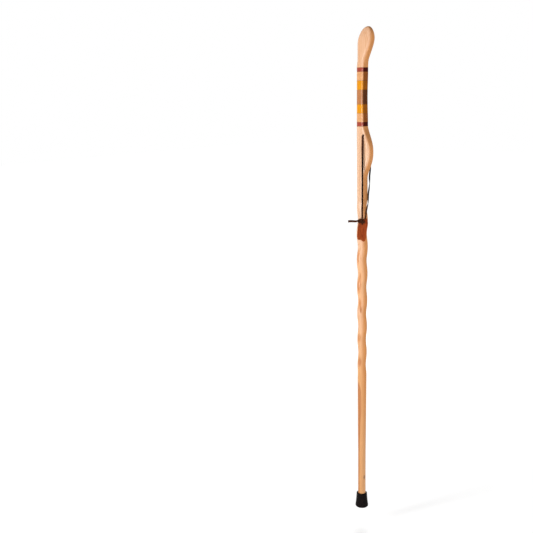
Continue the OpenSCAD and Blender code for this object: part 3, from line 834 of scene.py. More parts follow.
def knob_rows(sizes):
    """Outside of the knob, from its foot to just under its peak.

    The front swings out in an S. Front, back and sides then close over along quarter ellipses, so the
    levels are crowded towards the peak as the sine of an even angle.
    """
    height = STAFF_TOP - KNOB_Z
    z = height * np.sin(np.linspace(0.0, TURN / 4, KNOB_LEVELS)[:-1])
    front_level = height - sizes.knob_front_drop
    reach = mix(sizes.grip_half, sizes.knob_front, ease(ramp(z, 0.0, front_level)))
    front = mix(sizes.knob_peak_x, reach, quarter_arc(ramp(z, front_level, height)))
    back_level = height - sizes.knob_back_drop
    back = mix(-sizes.knob_peak_x, sizes.grip_half, quarter_arc(ramp(z, back_level, height)))
    half = sizes.stock_half * quarter_arc(ramp(z, height - sizes.knob_side_drop, height))
    rounded = ease(ramp(z, 0.0, sizes.knob_edge_rise))
    edge = mix(sizes.grip_edge_r, sizes.knob_edge_r, rounded)
    return lift(sections(front, back, half, edge, edge), KNOB_Z + z)


class STAFF_OT_knob(Operator):
    """Carves the knob, with the blind bore for the dowel"""

    bl_idname = "staff.knob"
    bl_label = "Knob"

    def execute(self, context):
        sizes = context.scene.staff_wood
        rows = knob_rows(sizes)
        bore_top = DOWEL_TOP + GLUE_GAP
        bore = [ring(rows[0, :, :2], DOWEL_R + GLUE_GAP, level) for level in (bore_top, KNOB_Z)]
        rows = np.concatenate([*bore, rows])
        marks = {"glue": 1.0 - ramp(rows[..., 2], KNOB_Z, KNOB_Z + GLUE_REACH)}
        peak = (sizes.knob_peak_x, 0.0, STAFF_TOP)
        mesh = grid_mesh("carved_knob", rows, (0.0, 0.0, bore_top), peak, marks=marks)
        mark_shaded_sides(mesh)
        add_piece(mesh, pale_wood(context.scene.staff_finish), "staff", ["knob"])
        return {"FINISHED"}


def block_rows(sizes, low, high):
    """A glued block: its outside from joint to joint with eased edges, then its bore back down.

    The front is hollowed by the square of a sine from the swell to the knob.
    """
    levels = np.concatenate([
        low + np.array([0.0, BLOCK_EASE, GLUE_REACH]),
        np.linspace(low, high, BLOCK_LEVELS)[1:-1],
        high - np.array([GLUE_REACH, BLOCK_EASE, 0.0]),
    ])
    hollow = sizes.grip_hollow * np.sin(math.pi * ramp(levels, GRIP_Z, KNOB_Z)) ** 2
    half = np.full(len(levels), sizes.grip_half)
    edge = np.full(len(levels), sizes.grip_edge_r)
    outlines = sections(half - hollow, half, np.full(len(levels), sizes.stock_half), edge, edge)
    eased = np.where((levels > low) & (levels < high), 0.0, BLOCK_EASE)
    outside = outlines * (1.0 - eased[:, None] / np.linalg.norm(outlines, axis=-1))[..., None]
    bore = [ring(outlines[0], DOWEL_R + GLUE_GAP, level) for level in (high, low)]
    return np.concatenate([lift(outside, levels), *bore])


class STAFF_OT_grip_bands(Operator):
    """Glues the seven blocks of the grip"""

    bl_idname = "staff.grip_bands"
    bl_label = "Grip bands"

    def execute(self, context):
        finish = context.scene.staff_finish
        paired = {"red": red_wood(finish), "tan": tan_wood(finish), "amber": amber_wood(finish)}
        woods = {**paired, "walnut": walnut_wood(finish)}
        bands = [f"{place}_{kind}_band" for place in ("upper", "lower") for kind in paired]
        for node in [*bands, "walnut_band"]:
            kind = node.split("_")[-2]
            low, high = bottom(node), top(node)
            rows = block_rows(context.scene.staff_wood, low, high)
            marks = {"glue": end_reach(rows[..., 2], low, high)}
            mesh = grid_mesh(node.replace("band", "block"), rows, looped=True, marks=marks)
            mark_shaded_sides(mesh)
            add_piece(mesh, woods[kind], "staff", [node])
        return {"FINISHED"}


# Turn of the first crest of the spiral, and how far it lies under the spiral's top
CREST_TURN = math.radians(37)
CREST_DROP = 30 * MM
# Powers that narrow the groove and shape the upper and lower curve of the swell
GROOVE_POWER = 1.2
SWELL_RISE_POWER = 1.4
SWELL_RUNOUT_POWER = 1.25
# The cutter of the lace hole: how far its flare passes the bevel, steps of the flare, points round it
FLARE = 1.5
FLARE_STEPS = 8
HOLE_ROUND = 48


def shaft_rows(sizes):
    """Outside of the shaft, from the shoulder above the ferrule to the grip.

    Below it is a round stick that thickens upwards. The waist is a soft square. The front of the swell
    bellies out under the grip as a power of a sine and runs out in an eased curve. The spiral is cut
    radially, deepest where the surface faces the groove's side, which turns left-handed with height.
    """
    swell_z = GRIP_Z - sizes.swell_drop
    waist_z = GRIP_Z - sizes.swell_len
    twist_top = waist_z - sizes.waist_len
    twist_foot = twist_top - sizes.twist_len
    fade = sizes.twist_fade
    z = np.concatenate([
        np.linspace(FOOT_Z, twist_foot, STICK_LEVELS, endpoint=False),
        np.linspace(twist_foot, twist_top + fade, TWIST_LEVELS, endpoint=False),
        np.linspace(twist_top + fade, GRIP_Z, SWELL_LEVELS),
    ])
    calf_top = sizes.ankle_h + sizes.calf_len
    radius = (
        sizes.ankle_r
        + (sizes.stick_r - sizes.ankle_r) * ease(ramp(z, sizes.ankle_h, calf_top))
        + (sizes.twist_r - sizes.stick_r) * ramp(z, calf_top, twist_top - sizes.twist_pitch)
    )
    to_waist = ease(ramp(z, twist_top - fade, twist_top + fade))
    to_grip = ramp(z, waist_z, GRIP_Z)
    half = mix(radius, sizes.waist_half, to_waist)
    edge = mix(radius, sizes.waist_edge_r, to_waist)
    heel = mix(edge, sizes.grip_edge_r, to_grip)
    nose = mix(heel, sizes.swell_edge_r, np.sin(math.pi * to_grip) ** 2)
    belly = np.sin(TURN / 4 * ramp(z, GRIP_Z, swell_z)) ** SWELL_RISE_POWER
    runout = ease(ramp(z, swell_z, waist_z) ** SWELL_RUNOUT_POWER)
    swell = np.where(
        z >= swell_z,
        mix(sizes.grip_half, sizes.swell_front, belly),
        mix(sizes.swell_front, sizes.waist_half, runout),
    )
    outlines = sections(
        np.where(z > waist_z, swell, half), mix(half, sizes.grip_half, to_grip),
        mix(half, sizes.stock_half, to_grip), nose, heel,
    )
    side = CREST_TURN + math.pi - TURN * (z - twist_top + CREST_DROP) / sizes.twist_pitch
    depth = mix(sizes.twist_foot_depth, sizes.twist_depth, ramp(z, twist_foot, twist_top))
    fade_in = ease(ramp(z, twist_foot, twist_foot + fade))
    depth = depth * fade_in * ease(ramp(z, twist_top + fade, twist_top))
    around = np.arctan2(outlines[..., 1], outlines[..., 0]) - side[:, None]
    cut = depth[:, None] * ((1.0 + np.cos(around)) / 2) ** GROOVE_POWER
    outlines = outlines * (1.0 - cut / np.linalg.norm(outlines, axis=-1))[..., None]
    return lift(outlines, z), twist_foot


def drill(piece, wood_sizes, leather_sizes):
    """Cuts the lace hole across a piece: a turned cutter that flares at both flat sides."""
    r, bevel, half = wood_sizes.hole_r, wood_sizes.hole_bevel, wood_sizes.stock_half
    flare = np.linspace(0.0, 1.0, FLARE_STEPS)
    out = half - bevel + FLARE * bevel * flare
    radii = r + FLARE * bevel * (1.0 - quarter_arc(flare))
    y = np.concatenate([-out[::-1], out])
    reach = np.concatenate([radii[::-1], radii])
    a = np.linspace(0.0, TURN, HOLE_ROUND, endpoint=False)
    x = leather_sizes.hole_x
    z = GRIP_Z - leather_sizes.hole_drop
    rows = np.stack([
        x + reach[:, None] * np.cos(a),
        np.broadcast_to(y[:, None], (len(y), len(a))),
        z - reach[:, None] * np.sin(a),
    ], -1)
    cutter = bpy.data.objects.new("cutter", grid_mesh("cutter", rows, (x, y[0], z), (x, y[-1], z)))
    bpy.context.scene.collection.objects.link(cutter)
    cut = piece.modifiers.new("Lace hole", "BOOLEAN")
    cut.operation = "DIFFERENCE"
    cut.solver = "EXACT"
    cut.object = cutter
    bpy.context.view_layer.update()
    shown = piece.evaluated_get(bpy.context.evaluated_depsgraph_get())
    drilled = bpy.data.meshes.new_from_object(shown)
    piece.modifiers.clear()
    old = piece.data
    piece.data = drilled
    drilled.name = old.name
    bpy.data.meshes.remove(old)
    bpy.data.objects.remove(cutter)
    smooth(drilled)


class STAFF_OT_shaft(Operator):
    """Carves the shaft: swell, waist, spiral, stick, the seat for the ferrule and its two bores"""

    bl_idname = "staff.shaft"
    bl_label = "Shaft"

    def execute(self, context):
        sizes = context.scene.staff_wood
        outside, twist_foot = shaft_rows(sizes)
        seat = [ring(outside[0, :, :2], sizes.seat_r, level) for level in (SEAT_Z, FOOT_Z)]
        radius = DOWEL_R + GLUE_GAP
        bore = [ring(outside[-1, :, :2], radius, level) for level in (GRIP_Z, DOWEL_FOOT - GLUE_GAP)]
        rows = np.concatenate([*seat, outside, *bore])
        marks = {"glue": ramp(rows[..., 2], GRIP_Z - GLUE_REACH, GRIP_Z)}
        mesh = grid_mesh(
            "carved_shaft", rows, (0.0, 0.0, SEAT_Z), (0.0, 0.0, DOWEL_FOOT - GLUE_GAP), marks=marks
        )
        mark_shaded_sides(mesh, sizes.ankle_h, twist_foot)
        material = bpy.data.materials.get("Pale wood")
        piece = add_piece(mesh, material, "staff", ["shaft"])
        drill(piece, sizes, context.scene.staff_leather)
        return {"FINISHED"}


def arc(x, z, radius, start, end, steps=10):
    """Points of an arc in a profile, in degrees from straight out."""
    a = np.radians(np.linspace(start, end, steps))
    return np.stack([x + radius * np.cos(a), z + radius * np.sin(a)], -1)


# Ring grooves of the sole: where they start, their width and their depth
TREAD_STARTS = (4.2 * MM, 8.4 * MM)
TREAD_W = 1.6 * MM
TREAD_DEPTH = 1.2 * MM
# The skirt: radius of its rim, its lean in degrees, how far its middle is hollowed, and its steps
RIM_EDGE_R = 1.5 * MM
SKIRT_LEAN = 8
SKIRT_HOLLOW = 0.5 * MM
SKIRT_STEPS = 14
BASE_STEPS = 16
FERRULE_ROUND = 112


class STAFF_OT_ferrule(Operator):
    """Turns the rubber ferrule: a profile with a ringed sole, a round base, a waisted skirt and a rim"""

    bl_idname = "staff.ferrule"
    bl_label = "Ferrule"

    def execute(self, context):
        sizes = context.scene.staff_wood
        sole = [
            (x + dx * TREAD_W, dz * TREAD_DEPTH)
            for x in TREAD_STARTS for dx, dz in ((0, 0), (0, 1), (1, 1), (1, 0))
        ]
        edge_r = sizes.base_edge_r
        base = arc(sizes.base_r - edge_r, edge_r, edge_r, -90, SKIRT_LEAN, BASE_STEPS)
        rim = arc(sizes.rim_r - RIM_EDGE_R, FERRULE_H - RIM_EDGE_R, RIM_EDGE_R, SKIRT_LEAN, 90)
        climb = np.linspace(0.0, 1.0, SKIRT_STEPS)[1:-1]
        hollow = SKIRT_HOLLOW * np.sin(math.pi * climb)
        skirt = mix(base[-1], rim[0], climb[:, None]) - np.stack([hollow, 0 * hollow], -1)
        bore_r = sizes.seat_r + GLUE_GAP
        profile = np.concatenate([sole, base, skirt, rim, [(bore_r, FERRULE_H), (bore_r, SOLE_T)]])
        a = np.linspace(0.0, TURN, FERRULE_ROUND, endpoint=False)
        radii, levels = profile[:, :1], profile[:, 1:]
        rows = np.stack([
            radii * np.cos(a), radii * np.sin(a), np.broadcast_to(levels, (len(levels), len(a)))
        ], -1)
        mesh = grid_mesh("rubber_ferrule", rows, (0.0, 0.0, 0.0), (0.0, 0.0, SOLE_T))
        material = ferrule_rubber(context.scene.staff_finish)
        add_piece(mesh, material, "ferrule", ["ferrule"])
        return {"FINISHED"}


class STAFF_OT_inner_pieces(Operator):
    """Finishes the two pieces inside: the dowel in the grip and the washer in the ferrule"""

    bl_idname = "staff.inner_pieces"
    bl_label = "Inner pieces"

    def execute(self, context):
        for node, material in (("core_dowel", dowel_wood()), ("ferrule_washer", washer_steel())):
            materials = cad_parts[node].data.materials
            materials.clear()
            materials.append(material)
        return {"FINISHED"}


# The lower end of the lace turns to face this way, in degrees
LACE_FACES = 37
# Millimetres: the strands at the hole, then the knot, its core and the tag, across and out from the staff
STRAND_X = 12
STRAND_Y = 15
STRAND_DROP = 8
KNOT_ACROSS = -3.5
KNOT_OUT = 28
KNOT_DROP = 253
CORE_ACROSS = 0
TAG_ACROSS = 5
TAG_OUT = 20
# How often the lace goes round the knot
KNOT_WRAPS = 2.25


def facing(across, out, level):
    """A place given across and out from the staff, as seen facing the tag, with its level as it is."""
    c, s = math.cos(math.radians(LACE_FACES)), math.sin(math.radians(LACE_FACES))
    return (across * c + out * s, across * s - out * c, level)


# Routes of the lace in millimetres: x, y and the drop under the lace hole
NEAR_ROUTE = (
    (STRAND_X, -STRAND_Y, STRAND_DROP), (12, -15, 12.6), (12.6, -16.2, 28), (13, -17.2, 44), (14, -18, 70),
    (14.6, -18.8, 110), (15, -19.6, 150), (15.6, -20.5, 190), (16, -21.4, 216),
    facing(CORE_ACROSS, KNOT_OUT, KNOT_DROP - 22), facing(CORE_ACROSS, KNOT_OUT, KNOT_DROP + 5),
)
FAR_ROUTE = (
    (STRAND_X, STRAND_Y, STRAND_DROP), (12, 15, 12.6), (12.8, 15.4, 40), (14.8, 15.7, 64), (16.9, 15.6, 84),
    (17.6, 14.2, 102), (17.8, 11.2, 119), (19.8, 8.8, 141), (19.9, 5.6, 157), (19.6, 2.6, 173),
    (20.6, 0.8, 187), (21.2, -0.4, 198), (19.2, -3.4, 212), facing(10.6, 15.2, 230), facing(9.7, 15.9, 241),
    facing(8, 16.6, 248.4), facing(6.2, 17.6, 252), facing(TAG_ACROSS, 19.4, KNOT_DROP),
    facing(TAG_ACROSS, 22, KNOT_DROP),
)
# Turns of the far strand's flat along its route, in degrees: it turns over twice and shows its edge between
FAR_TURNS = (
    180, 180, 182, 186, 192, 202, 220, 307, 352, 397, 440, 487, 540, 572, 577, 577, 577, 577, 577,
)
TAIL_ROUTE = (
    facing(-10.6, 34.4, 243.6), facing(-14, 35, 245.8), facing(-18, 34.8, 247.2), facing(-24, 34, 247.2),
    facing(-31, 33, 247), facing(-37, 32, 247.4), facing(-41, 31.2, 248),
)
# The lace bends over the edge of its hole with this radius, from this far out, in these steps
LIP_R = 2.8
LIP_Y = 12.2
LIP_STEPS = 7
# Drops between which the near strand spreads under the hole and narrows again
SPREAD_DROPS = (8, 24)
NARROW_DROPS = (28, 64)
# Points of a route between which the far strand narrows, counted from its end, and the tail widens
FAR_NARROWS = (6, 2)
TAIL_WIDENS = (2, 5)
# How far the lace is rubbed lighter at its hole, at the knot and in the tail, and the drops where that
# fades under the hole and comes back towards the knot
WEAR = 0.6
KNOT_END_WEAR = 0.5
HOLE_WEAR_DROPS = (60, 20)
NEAR_WEAR_DROPS = (180, 225)
FAR_WEAR_DROPS = (190, 220)
# Spacing of the sections along the lace, the fewest of them, and points round one section
LACE_STEP = 0.8 * MM
FEWEST_SECTIONS = 8
LACE_ROUND = 28
# Points of the wraps, and of the stretch that leads to them and tips the flat upright
WRAP_POINTS = 90
LEAD_POINTS = 4
# Section of the lace: its power, then the waves of its width, each as a share, radians per metre and a
# start, then how far its edges are rubbed and the power that keeps that at the edges
SECTION_POWER = 0.55
WIDTH_WAVES = ((0.03, 190.0, 0.0), (0.02, 431.0, 1.0))
EDGE_WEAR = 0.2
EDGE_POWER = 6


def hung(points, lace_z):
    """Route points in metres, at their real height."""
    points = np.asarray(points, float) * MM
    return np.stack([points[:, 0], points[:, 1], lace_z - points[:, 2]], -1)


def distances(points):
    """Distance of each point along the straight lines that join them."""
    return np.concatenate([[0.0], np.cumsum(np.linalg.norm(np.diff(points, axis=0), axis=1))])


def curve_at(points, at):
    """Points of one smooth curve through given points, at distances along them.

    Each span is a cubic between two points. The slope at a point is the one of the parabola through it
    and its neighbours, with the distance along the points as the parameter.
    """
    s = distances(points)
    steps = np.diff(s)
    chords = np.diff(points, axis=0) / steps[:, None]
    before, after = steps[:-1, None], steps[1:, None]
    inner = (chords[:-1] * after + chords[1:] * before) / (before + after)
    slopes = np.concatenate([chords[:1], inner, chords[-1:]])
    k = np.clip(np.searchsorted(s, at, side="right") - 1, 0, len(steps) - 1)
    t = ((at - s[k]) / steps[k])[:, None]
    h = steps[k][:, None]
    return (
        (1 + 2 * t) * (1 - t) ** 2 * points[k] + t * (1 - t) ** 2 * h * slopes[k]
        + t * t * (3 - 2 * t) * points[k + 1] + t * t * (t - 1) * h * slopes[k + 1]
    )


def smooth_path(points, *others):
    """An even path on a smooth curve through points, and other values carried along it."""
    s = distances(points)
    at = np.linspace(0.0, s[-1], max(FEWEST_SECTIONS, int(s[-1] / LACE_STEP)))
    carried = []
    for values in others:
        values = np.asarray(values, float).reshape(len(points), -1)
        carried.append(np.stack([np.interp(at, s, column) for column in values.T], -1))
    return curve_at(points, at), *carried


def smooth_loop(points, count):
    """Even points on a smooth closed curve through points."""
    around = np.concatenate([points[-2:], points, points[:3]])
    s = distances(around)
    return curve_at(around, np.linspace(s[2], s[-3], count, endpoint=False))


def strip_mesh(name, path, sides, widths, wear, thickness):
    """A flat leather strip carried along a path.

    Its section is a superellipse, as wide as widths along the sides and as thick as thickness across
    them, after the sides are made square to the path. The width wanders a little, as in cut leather.
    wear says how far it is rubbed lighter along the path.
    """
    along = unit(np.gradient(path, axis=0))
    face = unit(np.cross(along, sides))
    across = np.cross(face, along)
    a = np.linspace(0.0, TURN, LACE_ROUND, endpoint=False)
    c, s = np.cos(a), np.sin(a)
    x = np.sign(c) * np.abs(c) ** SECTION_POWER
    y = np.sign(s) * np.abs(s) ** SECTION_POWER
    travelled = np.arange(len(path)) * LACE_STEP
    waves = [share * np.sin(travelled * rate + start) for share, rate, start in WIDTH_WAVES]
    half_w = (np.asarray(widths).ravel() / 2 * (1.0 + sum(waves)))[:, None, None]
    sideways = across[:, None] * half_w * x[None, :, None]
    rows = path[:, None] + sideways + face[:, None] * (thickness / 2) * y[None, :, None]
    edge = np.clip(np.asarray(wear).reshape(-1, 1) + EDGE_WEAR * np.abs(x) ** EDGE_POWER, 0.0, 1.0)
    return grid_mesh(name, rows, path[0], path[-1], marks={"edge": edge})


def level_sides(turns):
    """Level directions at those turns, in degrees."""
    a = np.radians(np.asarray(turns, float))
    return np.stack([np.cos(a), np.sin(a), 0 * a], -1)


def wrap_points(sizes):
    """Wraps of the knot: a helix round the near strand, climbing, in route millimetres."""
    a = np.linspace(0.0, KNOT_WRAPS * TURN, WRAP_POINTS)
    across = KNOT_ACROSS + sizes.knot_half_w / MM * np.cos(a)
    out = KNOT_OUT + sizes.knot_half_d / MM * np.sin(a)
    drop = KNOT_DROP - sizes.knot_pitch / MM * a / TURN
    return np.stack(facing(across, out, drop), -1)


class STAFF_OT_lace(Operator):
    """Hangs the lace: through its hole, down both sides, through the tag and wrapped into a knot"""

    bl_idname = "staff.lace"
    bl_label = "Lace"

    def execute(self, context):
        sizes = context.scene.staff_leather
        material = lace_leather(context.scene.staff_finish)
        lace_z = GRIP_Z - sizes.hole_drop

        def hang(name, node, points, sides, widths, wear):
            path, sides, widths, wear = smooth_path(hung(points, lace_z), sides, widths, wear)
            mesh = strip_mesh(name, path, sides, widths, wear, sizes.lace_t)
            return add_piece(mesh, material, "lace", [node]), path

        a = np.radians(np.linspace(0, 90, LIP_STEPS))
        lip = np.stack([0 * a + STRAND_X, LIP_Y + LIP_R * np.cos(a), LIP_R - LIP_R * np.sin(a)], -1)
        over = np.concatenate([[(STRAND_X, STRAND_Y, STRAND_DROP)], lip])
        through = np.concatenate([over, (over * (1, -1, 1))[::-1]])
        bridge, _ = hang(
            "lace_through_hole", "lace_bridge", through, level_sides([0] * len(through)),
            [sizes.hole_w] * len(through), [WEAR] * len(through),
        )
        near_turns = np.linspace(0, LACE_FACES, len(NEAR_ROUTE))
        near_drop = np.array(NEAR_ROUTE)[:, 2]
        near_widths = mix(sizes.hole_w, sizes.spread_w, ramp(near_drop, *SPREAD_DROPS))
        near_widths = mix(near_widths, sizes.hung_w, ramp(near_drop, *NARROW_DROPS))
        at_knot = KNOT_END_WEAR * ramp(near_drop, *NEAR_WEAR_DROPS)
        near_wear = WEAR * np.maximum(ramp(near_drop, *HOLE_WEAR_DROPS), at_knot)
        near, near_path = hang(
            "lace_near", "lace_near_strand", NEAR_ROUTE, level_sides(near_turns), near_widths, near_wear
        )
        from_end = len(FAR_ROUTE) - np.arange(len(FAR_ROUTE))
        far_widths = mix(sizes.lace_w, sizes.tight_w, ramp(from_end, *FAR_NARROWS))
        far_drop = np.array(FAR_ROUTE)[:, 2]
        far, far_path = hang(
            "lace_far", "lace_far_strand", FAR_ROUTE, level_sides(FAR_TURNS), far_widths,
            WEAR * ramp(far_drop, *FAR_WEAR_DROPS),
        )
        wraps = wrap_points(sizes)
        steps = np.linspace(0.0, 1.0, LEAD_POINTS, endpoint=False)[:, None]
        route = np.concatenate([mix(np.array(FAR_ROUTE[-1]), wraps[0], steps), wraps])
        tip = np.radians(90 * np.minimum(1.0, np.arange(len(route)) / LEAD_POINTS))[:, None]
        upright = np.array([[0.0, 0.0, -1.0]])
        knot_sides = level_sides([LACE_FACES]) * np.cos(tip) + upright * np.sin(tip)
        knot, _ = hang(
            "lace_wraps", "lace_knot", route, knot_sides,
            [sizes.tight_w] * len(route), [WEAR] * len(route),
        )
        away = unit(wraps[-1] - wraps[-2]) * sizes.tight_w / MM
        tail_route = np.concatenate([[wraps[-1], wraps[-1] + away], TAIL_ROUTE])
        tail_widths = mix(sizes.tight_w, sizes.tail_w, ramp(np.arange(len(tail_route)), *TAIL_WIDENS))
        tail, tail_path = hang(
            "lace_end", "lace_tail", tail_route, np.repeat(upright, len(tail_route), 0), tail_widths,
            [WEAR] * len(tail_route),
        )
        return {"FINISHED"}


# Cut edge of the tag in millimetres to the right of its hole and under it, anticlockwise
TAG_EDGE = (
    (11.6, 3), (11, -5), (9.8, -10.4), (7.4, -11.8), (0, -8.5), (-8, -4), (-15.2, -1.4), (-17, 3.5),
    (-17.8, 11), (-18.9, 22), (-20.2, 36), (-20.2, 43), (-18.8, 48.6), (-15.8, 51.2), (-11.2, 51.4),
    (-5.8, 53.8), (-1.6, 56.8), (2.4, 56), (4.8, 52), (6, 46), (7, 35), (8.4, 24), (10.6, 13),
)
# How far down the tag its lower left corner starts to curl, and where the curl ends
TAG_CURL_START = 12
TAG_CURL_END = 52
# Points round the tag, rings from its hole to its edge, and the power that keeps the rubbing at the edge
TAG_ROUND = 240
TAG_RINGS = 26
RUB_POWER = 14


class STAFF_OT_tag(Operator):
    """Cuts the leather tag: a punched sheet that leans and curls at one lower corner"""

    bl_idname = "staff.tag"
    bl_label = "Tag"

    def execute(self, context):
        sizes = context.scene.staff_leather
        lace_z = GRIP_Z - sizes.hole_drop
        edge = smooth_loop(np.array(TAG_EDGE), TAG_ROUND) * MM
        hole = unit(edge) * sizes.tag_hole_r
        spread = np.linspace(0.0, 1.0, TAG_RINGS)[:, None, None]
        flat = mix(hole[None], edge[None], spread)
        side = np.ones(flat.shape[:2])
        sheet = np.concatenate([flat, flat[::-1]])
        side = np.concatenate([side, -side])
        rub = np.concatenate([spread, spread[::-1]])[..., 0] ** RUB_POWER
        across, down = sheet[..., 0], sheet[..., 1]
        left = ramp(across, edge[:, 0].max(), edge[:, 0].min())
        curl = sizes.tag_curl * ease(ramp(down, TAG_CURL_START * MM, TAG_CURL_END * MM)) * left
        x = TAG_ACROSS * MM + across
        out = TAG_OUT * MM + curl + side * sizes.tag_t / 2
        drop = KNOT_DROP * MM + down
        rows = np.stack(facing(x, out, lace_z - drop), -1)
        marks = {"edge": np.broadcast_to(rub, rows.shape[:2])}
        mesh = grid_mesh("leather_tag", rows, looped=True, marks=marks)
        tag = add_piece(mesh, tag_leather(context.scene.staff_finish), "tag", ["tag"])
        return {"FINISHED"}


def seen(tree):
    """1 for rays from the camera, a mirror or glass, and 0 for light that falls on the object."""
    path = tree.node("ShaderNodeLightPath").outputs
    glossy = tree.math("MAXIMUM", path["Is Camera Ray"], path["Is Glossy Ray"])
    return tree.math("MAXIMUM", glossy, path["Is Transmission Ray"])


# Height of the ferrule's sole above the floor
PULL_ROOM = 60 * MM
SENSOR_MM = 36.0
# The light from all sides dims from the horizon up to this Z of its direction, to this share
SKY_SPAN = (0.0, 0.7)
SKY_TOP = 0.45
# The floor: half its width, its tone, and how it glows near the staff and far away, between two distances
FLOOR_REACH = 14.0
FLOOR_TONE = (0.82, 0.82, 0.82, 1.0)
GLOW_NEAR = 0.38
GLOW_FAR = 0.7
GLOW_SPAN = (0.2, 2.6)
WHITE = (1.0, 1.0, 1.0, 1.0)


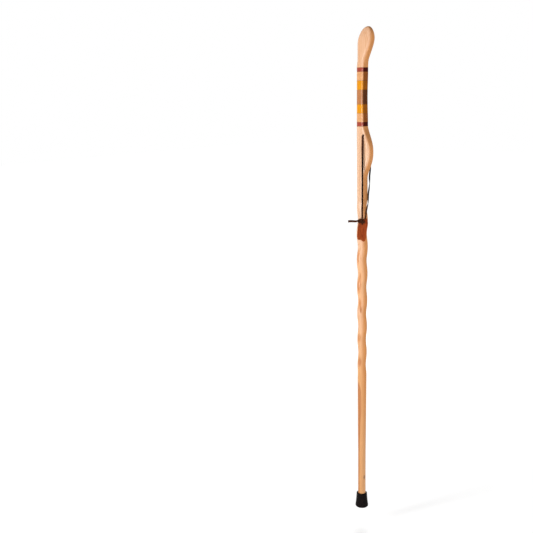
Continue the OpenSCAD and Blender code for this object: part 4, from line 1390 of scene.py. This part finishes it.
class STAFF_OT_stage(Operator):
    """Sets up the camera, the floor, the white surroundings and the lamps"""

    bl_idname = "staff.stage"
    bl_label = "Stage"

    def execute(self, context):
        stage = context.scene.staff_stage
        self.camera(context, stage)
        self.surroundings(context, stage)
        self.floor(context)
        self.lamps(context, stage)
        context.scene.view_settings.view_transform = "Standard"
        return {"FINISHED"}

    def camera(self, context, stage):
        data = bpy.data.cameras.new("camera")
        data.sensor_width = SENSOR_MM
        data.lens = stage.lens
        camera = bpy.data.objects.new("camera", data)
        context.scene.collection.objects.link(camera)
        context.scene.camera = camera
        place = np.array([math.sin(stage.azimuth), -math.cos(stage.azimuth), 0.0])
        sideways = np.array([math.cos(stage.azimuth), math.sin(stage.azimuth), 0.0])
        upright = np.array([0.0, 0.0, 1.0])
        ahead = -place * math.cos(stage.pan) - sideways * math.sin(stage.pan)
        right = sideways * math.cos(stage.pan) - place * math.sin(stage.pan)
        forward = ahead * math.cos(stage.tilt) - upright * math.sin(stage.tilt)
        up = upright * math.cos(stage.tilt) + ahead * math.sin(stage.tilt)
        rolled_right = right * math.cos(stage.roll) + up * math.sin(stage.roll)
        rolled_up = up * math.cos(stage.roll) - right * math.sin(stage.roll)
        position = place * stage.distance + upright * stage.height
        columns = np.stack([rolled_right, rolled_up, -forward, position], 1)
        camera.matrix_world = Matrix([*columns.tolist(), (0.0, 0.0, 0.0, 1.0)])

    def surroundings(self, context, stage):
        world = bpy.data.worlds.new("surroundings")
        context.scene.world = world
        world.use_nodes = True
        tree = Tree(world.node_tree)
        back = world.node_tree.nodes["Background"]
        back.inputs["Color"].default_value = WHITE
        towards = tree.node("ShaderNodeTexCoord").outputs["Generated"]
        up = tree.node("ShaderNodeSeparateXYZ", {0: towards}).outputs[2]
        low, high = SKY_SPAN
        dimming = {0: up, 1: low, 2: high, 3: stage.ambient, 4: stage.ambient * SKY_TOP}
        soft = tree.node("ShaderNodeMapRange", dimming).outputs[0]
        strength = tree.node("ShaderNodeMix", {0: seen(tree), 2: soft, 3: 1.0}, data_type="FLOAT")
        tree.feed(back.inputs["Strength"], strength.outputs[0])

    def floor(self, context):
        """The staff is held up by its grip, so that the ferrule can be pulled off above the floor."""
        mesh = bpy.data.meshes.new("floor")
        signs = ((-1, -1), (1, -1), (1, 1), (-1, 1))
        corners = [(x * FLOOR_REACH, y * FLOOR_REACH, -PULL_ROOM) for x, y in signs]
        mesh.from_pydata(corners, [], [(0, 1, 2, 3)])
        floor = bpy.data.objects.new("floor", mesh)
        context.scene.collection.objects.link(floor)
        material, tree, surface = new_material("Floor", roughness=0.9, specular=0.0)
        surface["Base Color"].default_value = FLOOR_TONE
        surface["Emission Color"].default_value = WHITE
        away = tree.vector("LENGTH", tree.position())
        glow = tree.line(tree.span(away, *GLOW_SPAN), GLOW_FAR - GLOW_NEAR, GLOW_NEAR)
        tree.feed(surface["Emission Strength"], tree.math("MULTIPLY", seen(tree), glow))
        mesh.materials.append(material)

    def lamps(self, context, stage):
        for name, place, aim, width, height, power in (
            ("key_lamp", (-0.8, -2.05, 0.92), (0.0, 0.0, 0.9), 0.35, 0.9, stage.key),
            ("fill_lamp", (1.9, -1.0, 0.55), (0.0, 0.0, 0.5), 1.0, 1.0, stage.fill),
            ("back_lamp", (-1.2, 1.7, 2.2), (0.0, 0.0, 0.75), 1.0, 1.0, stage.back),
        ):
            data = bpy.data.lights.new(name, "AREA")
            data.shape = "RECTANGLE"
            data.size = width
            data.size_y = height
            data.energy = power
            lamp = bpy.data.objects.new(name, data)
            context.scene.collection.objects.link(lamp)
            back = unit(np.array(place) - np.array(aim))
            right = unit(np.cross((0.0, 0.0, 1.0), back))
            columns = np.stack([right, np.cross(back, right), back, np.array(place)], 1)
            lamp.matrix_world = Matrix([*columns.tolist(), (0.0, 0.0, 0.0, 1.0)])


OPERATORS = (
    STAFF_OT_stage, STAFF_OT_lace, STAFF_OT_tag, STAFF_OT_knob, STAFF_OT_grip_bands, STAFF_OT_shaft,
    STAFF_OT_ferrule, STAFF_OT_inner_pieces,
)
GROUPS = {
    "staff_wood": StaffWood,
    "staff_leather": StaffLeather,
    "staff_finish": StaffFinish,
    "staff_stage": StaffStage,
}


class STAFF_PT_sidebar(Panel):
    """Lists the steps that build the staff, and the sizes and colours that they use"""

    bl_idname = "STAFF_PT_sidebar"
    bl_label = "Hiking Staff"
    bl_space_type = "VIEW_3D"
    bl_region_type = "UI"
    bl_category = "Staff"

    def draw(self, context):
        for operator in OPERATORS:
            self.layout.operator(operator.bl_idname)
        for name, group in GROUPS.items():
            box = self.layout.box()
            box.label(text=group.__doc__)
            for field in group.__annotations__:
                box.prop(getattr(context.scene, name), field)


def register():
    for group in GROUPS.values():
        bpy.utils.register_class(group)
    for operator in OPERATORS:
        bpy.utils.register_class(operator)
    bpy.utils.register_class(STAFF_PT_sidebar)
    for name, group in GROUPS.items():
        setattr(bpy.types.Scene, name, PointerProperty(type=group))


def unregister():
    for name in GROUPS:
        delattr(bpy.types.Scene, name)
    bpy.utils.unregister_class(STAFF_PT_sidebar)
    for operator in reversed(OPERATORS):
        bpy.utils.unregister_class(operator)
    for group in reversed(list(GROUPS.values())):
        bpy.utils.unregister_class(group)


def main():
    register()
    bpy.ops.staff.stage()
    bpy.ops.staff.lace()
    bpy.ops.staff.tag()
    bpy.ops.staff.knob()
    bpy.ops.staff.grip_bands()
    bpy.ops.staff.shaft()
    bpy.ops.staff.ferrule()
    bpy.ops.staff.inner_pieces()


if __name__ == "__main__":
    main()
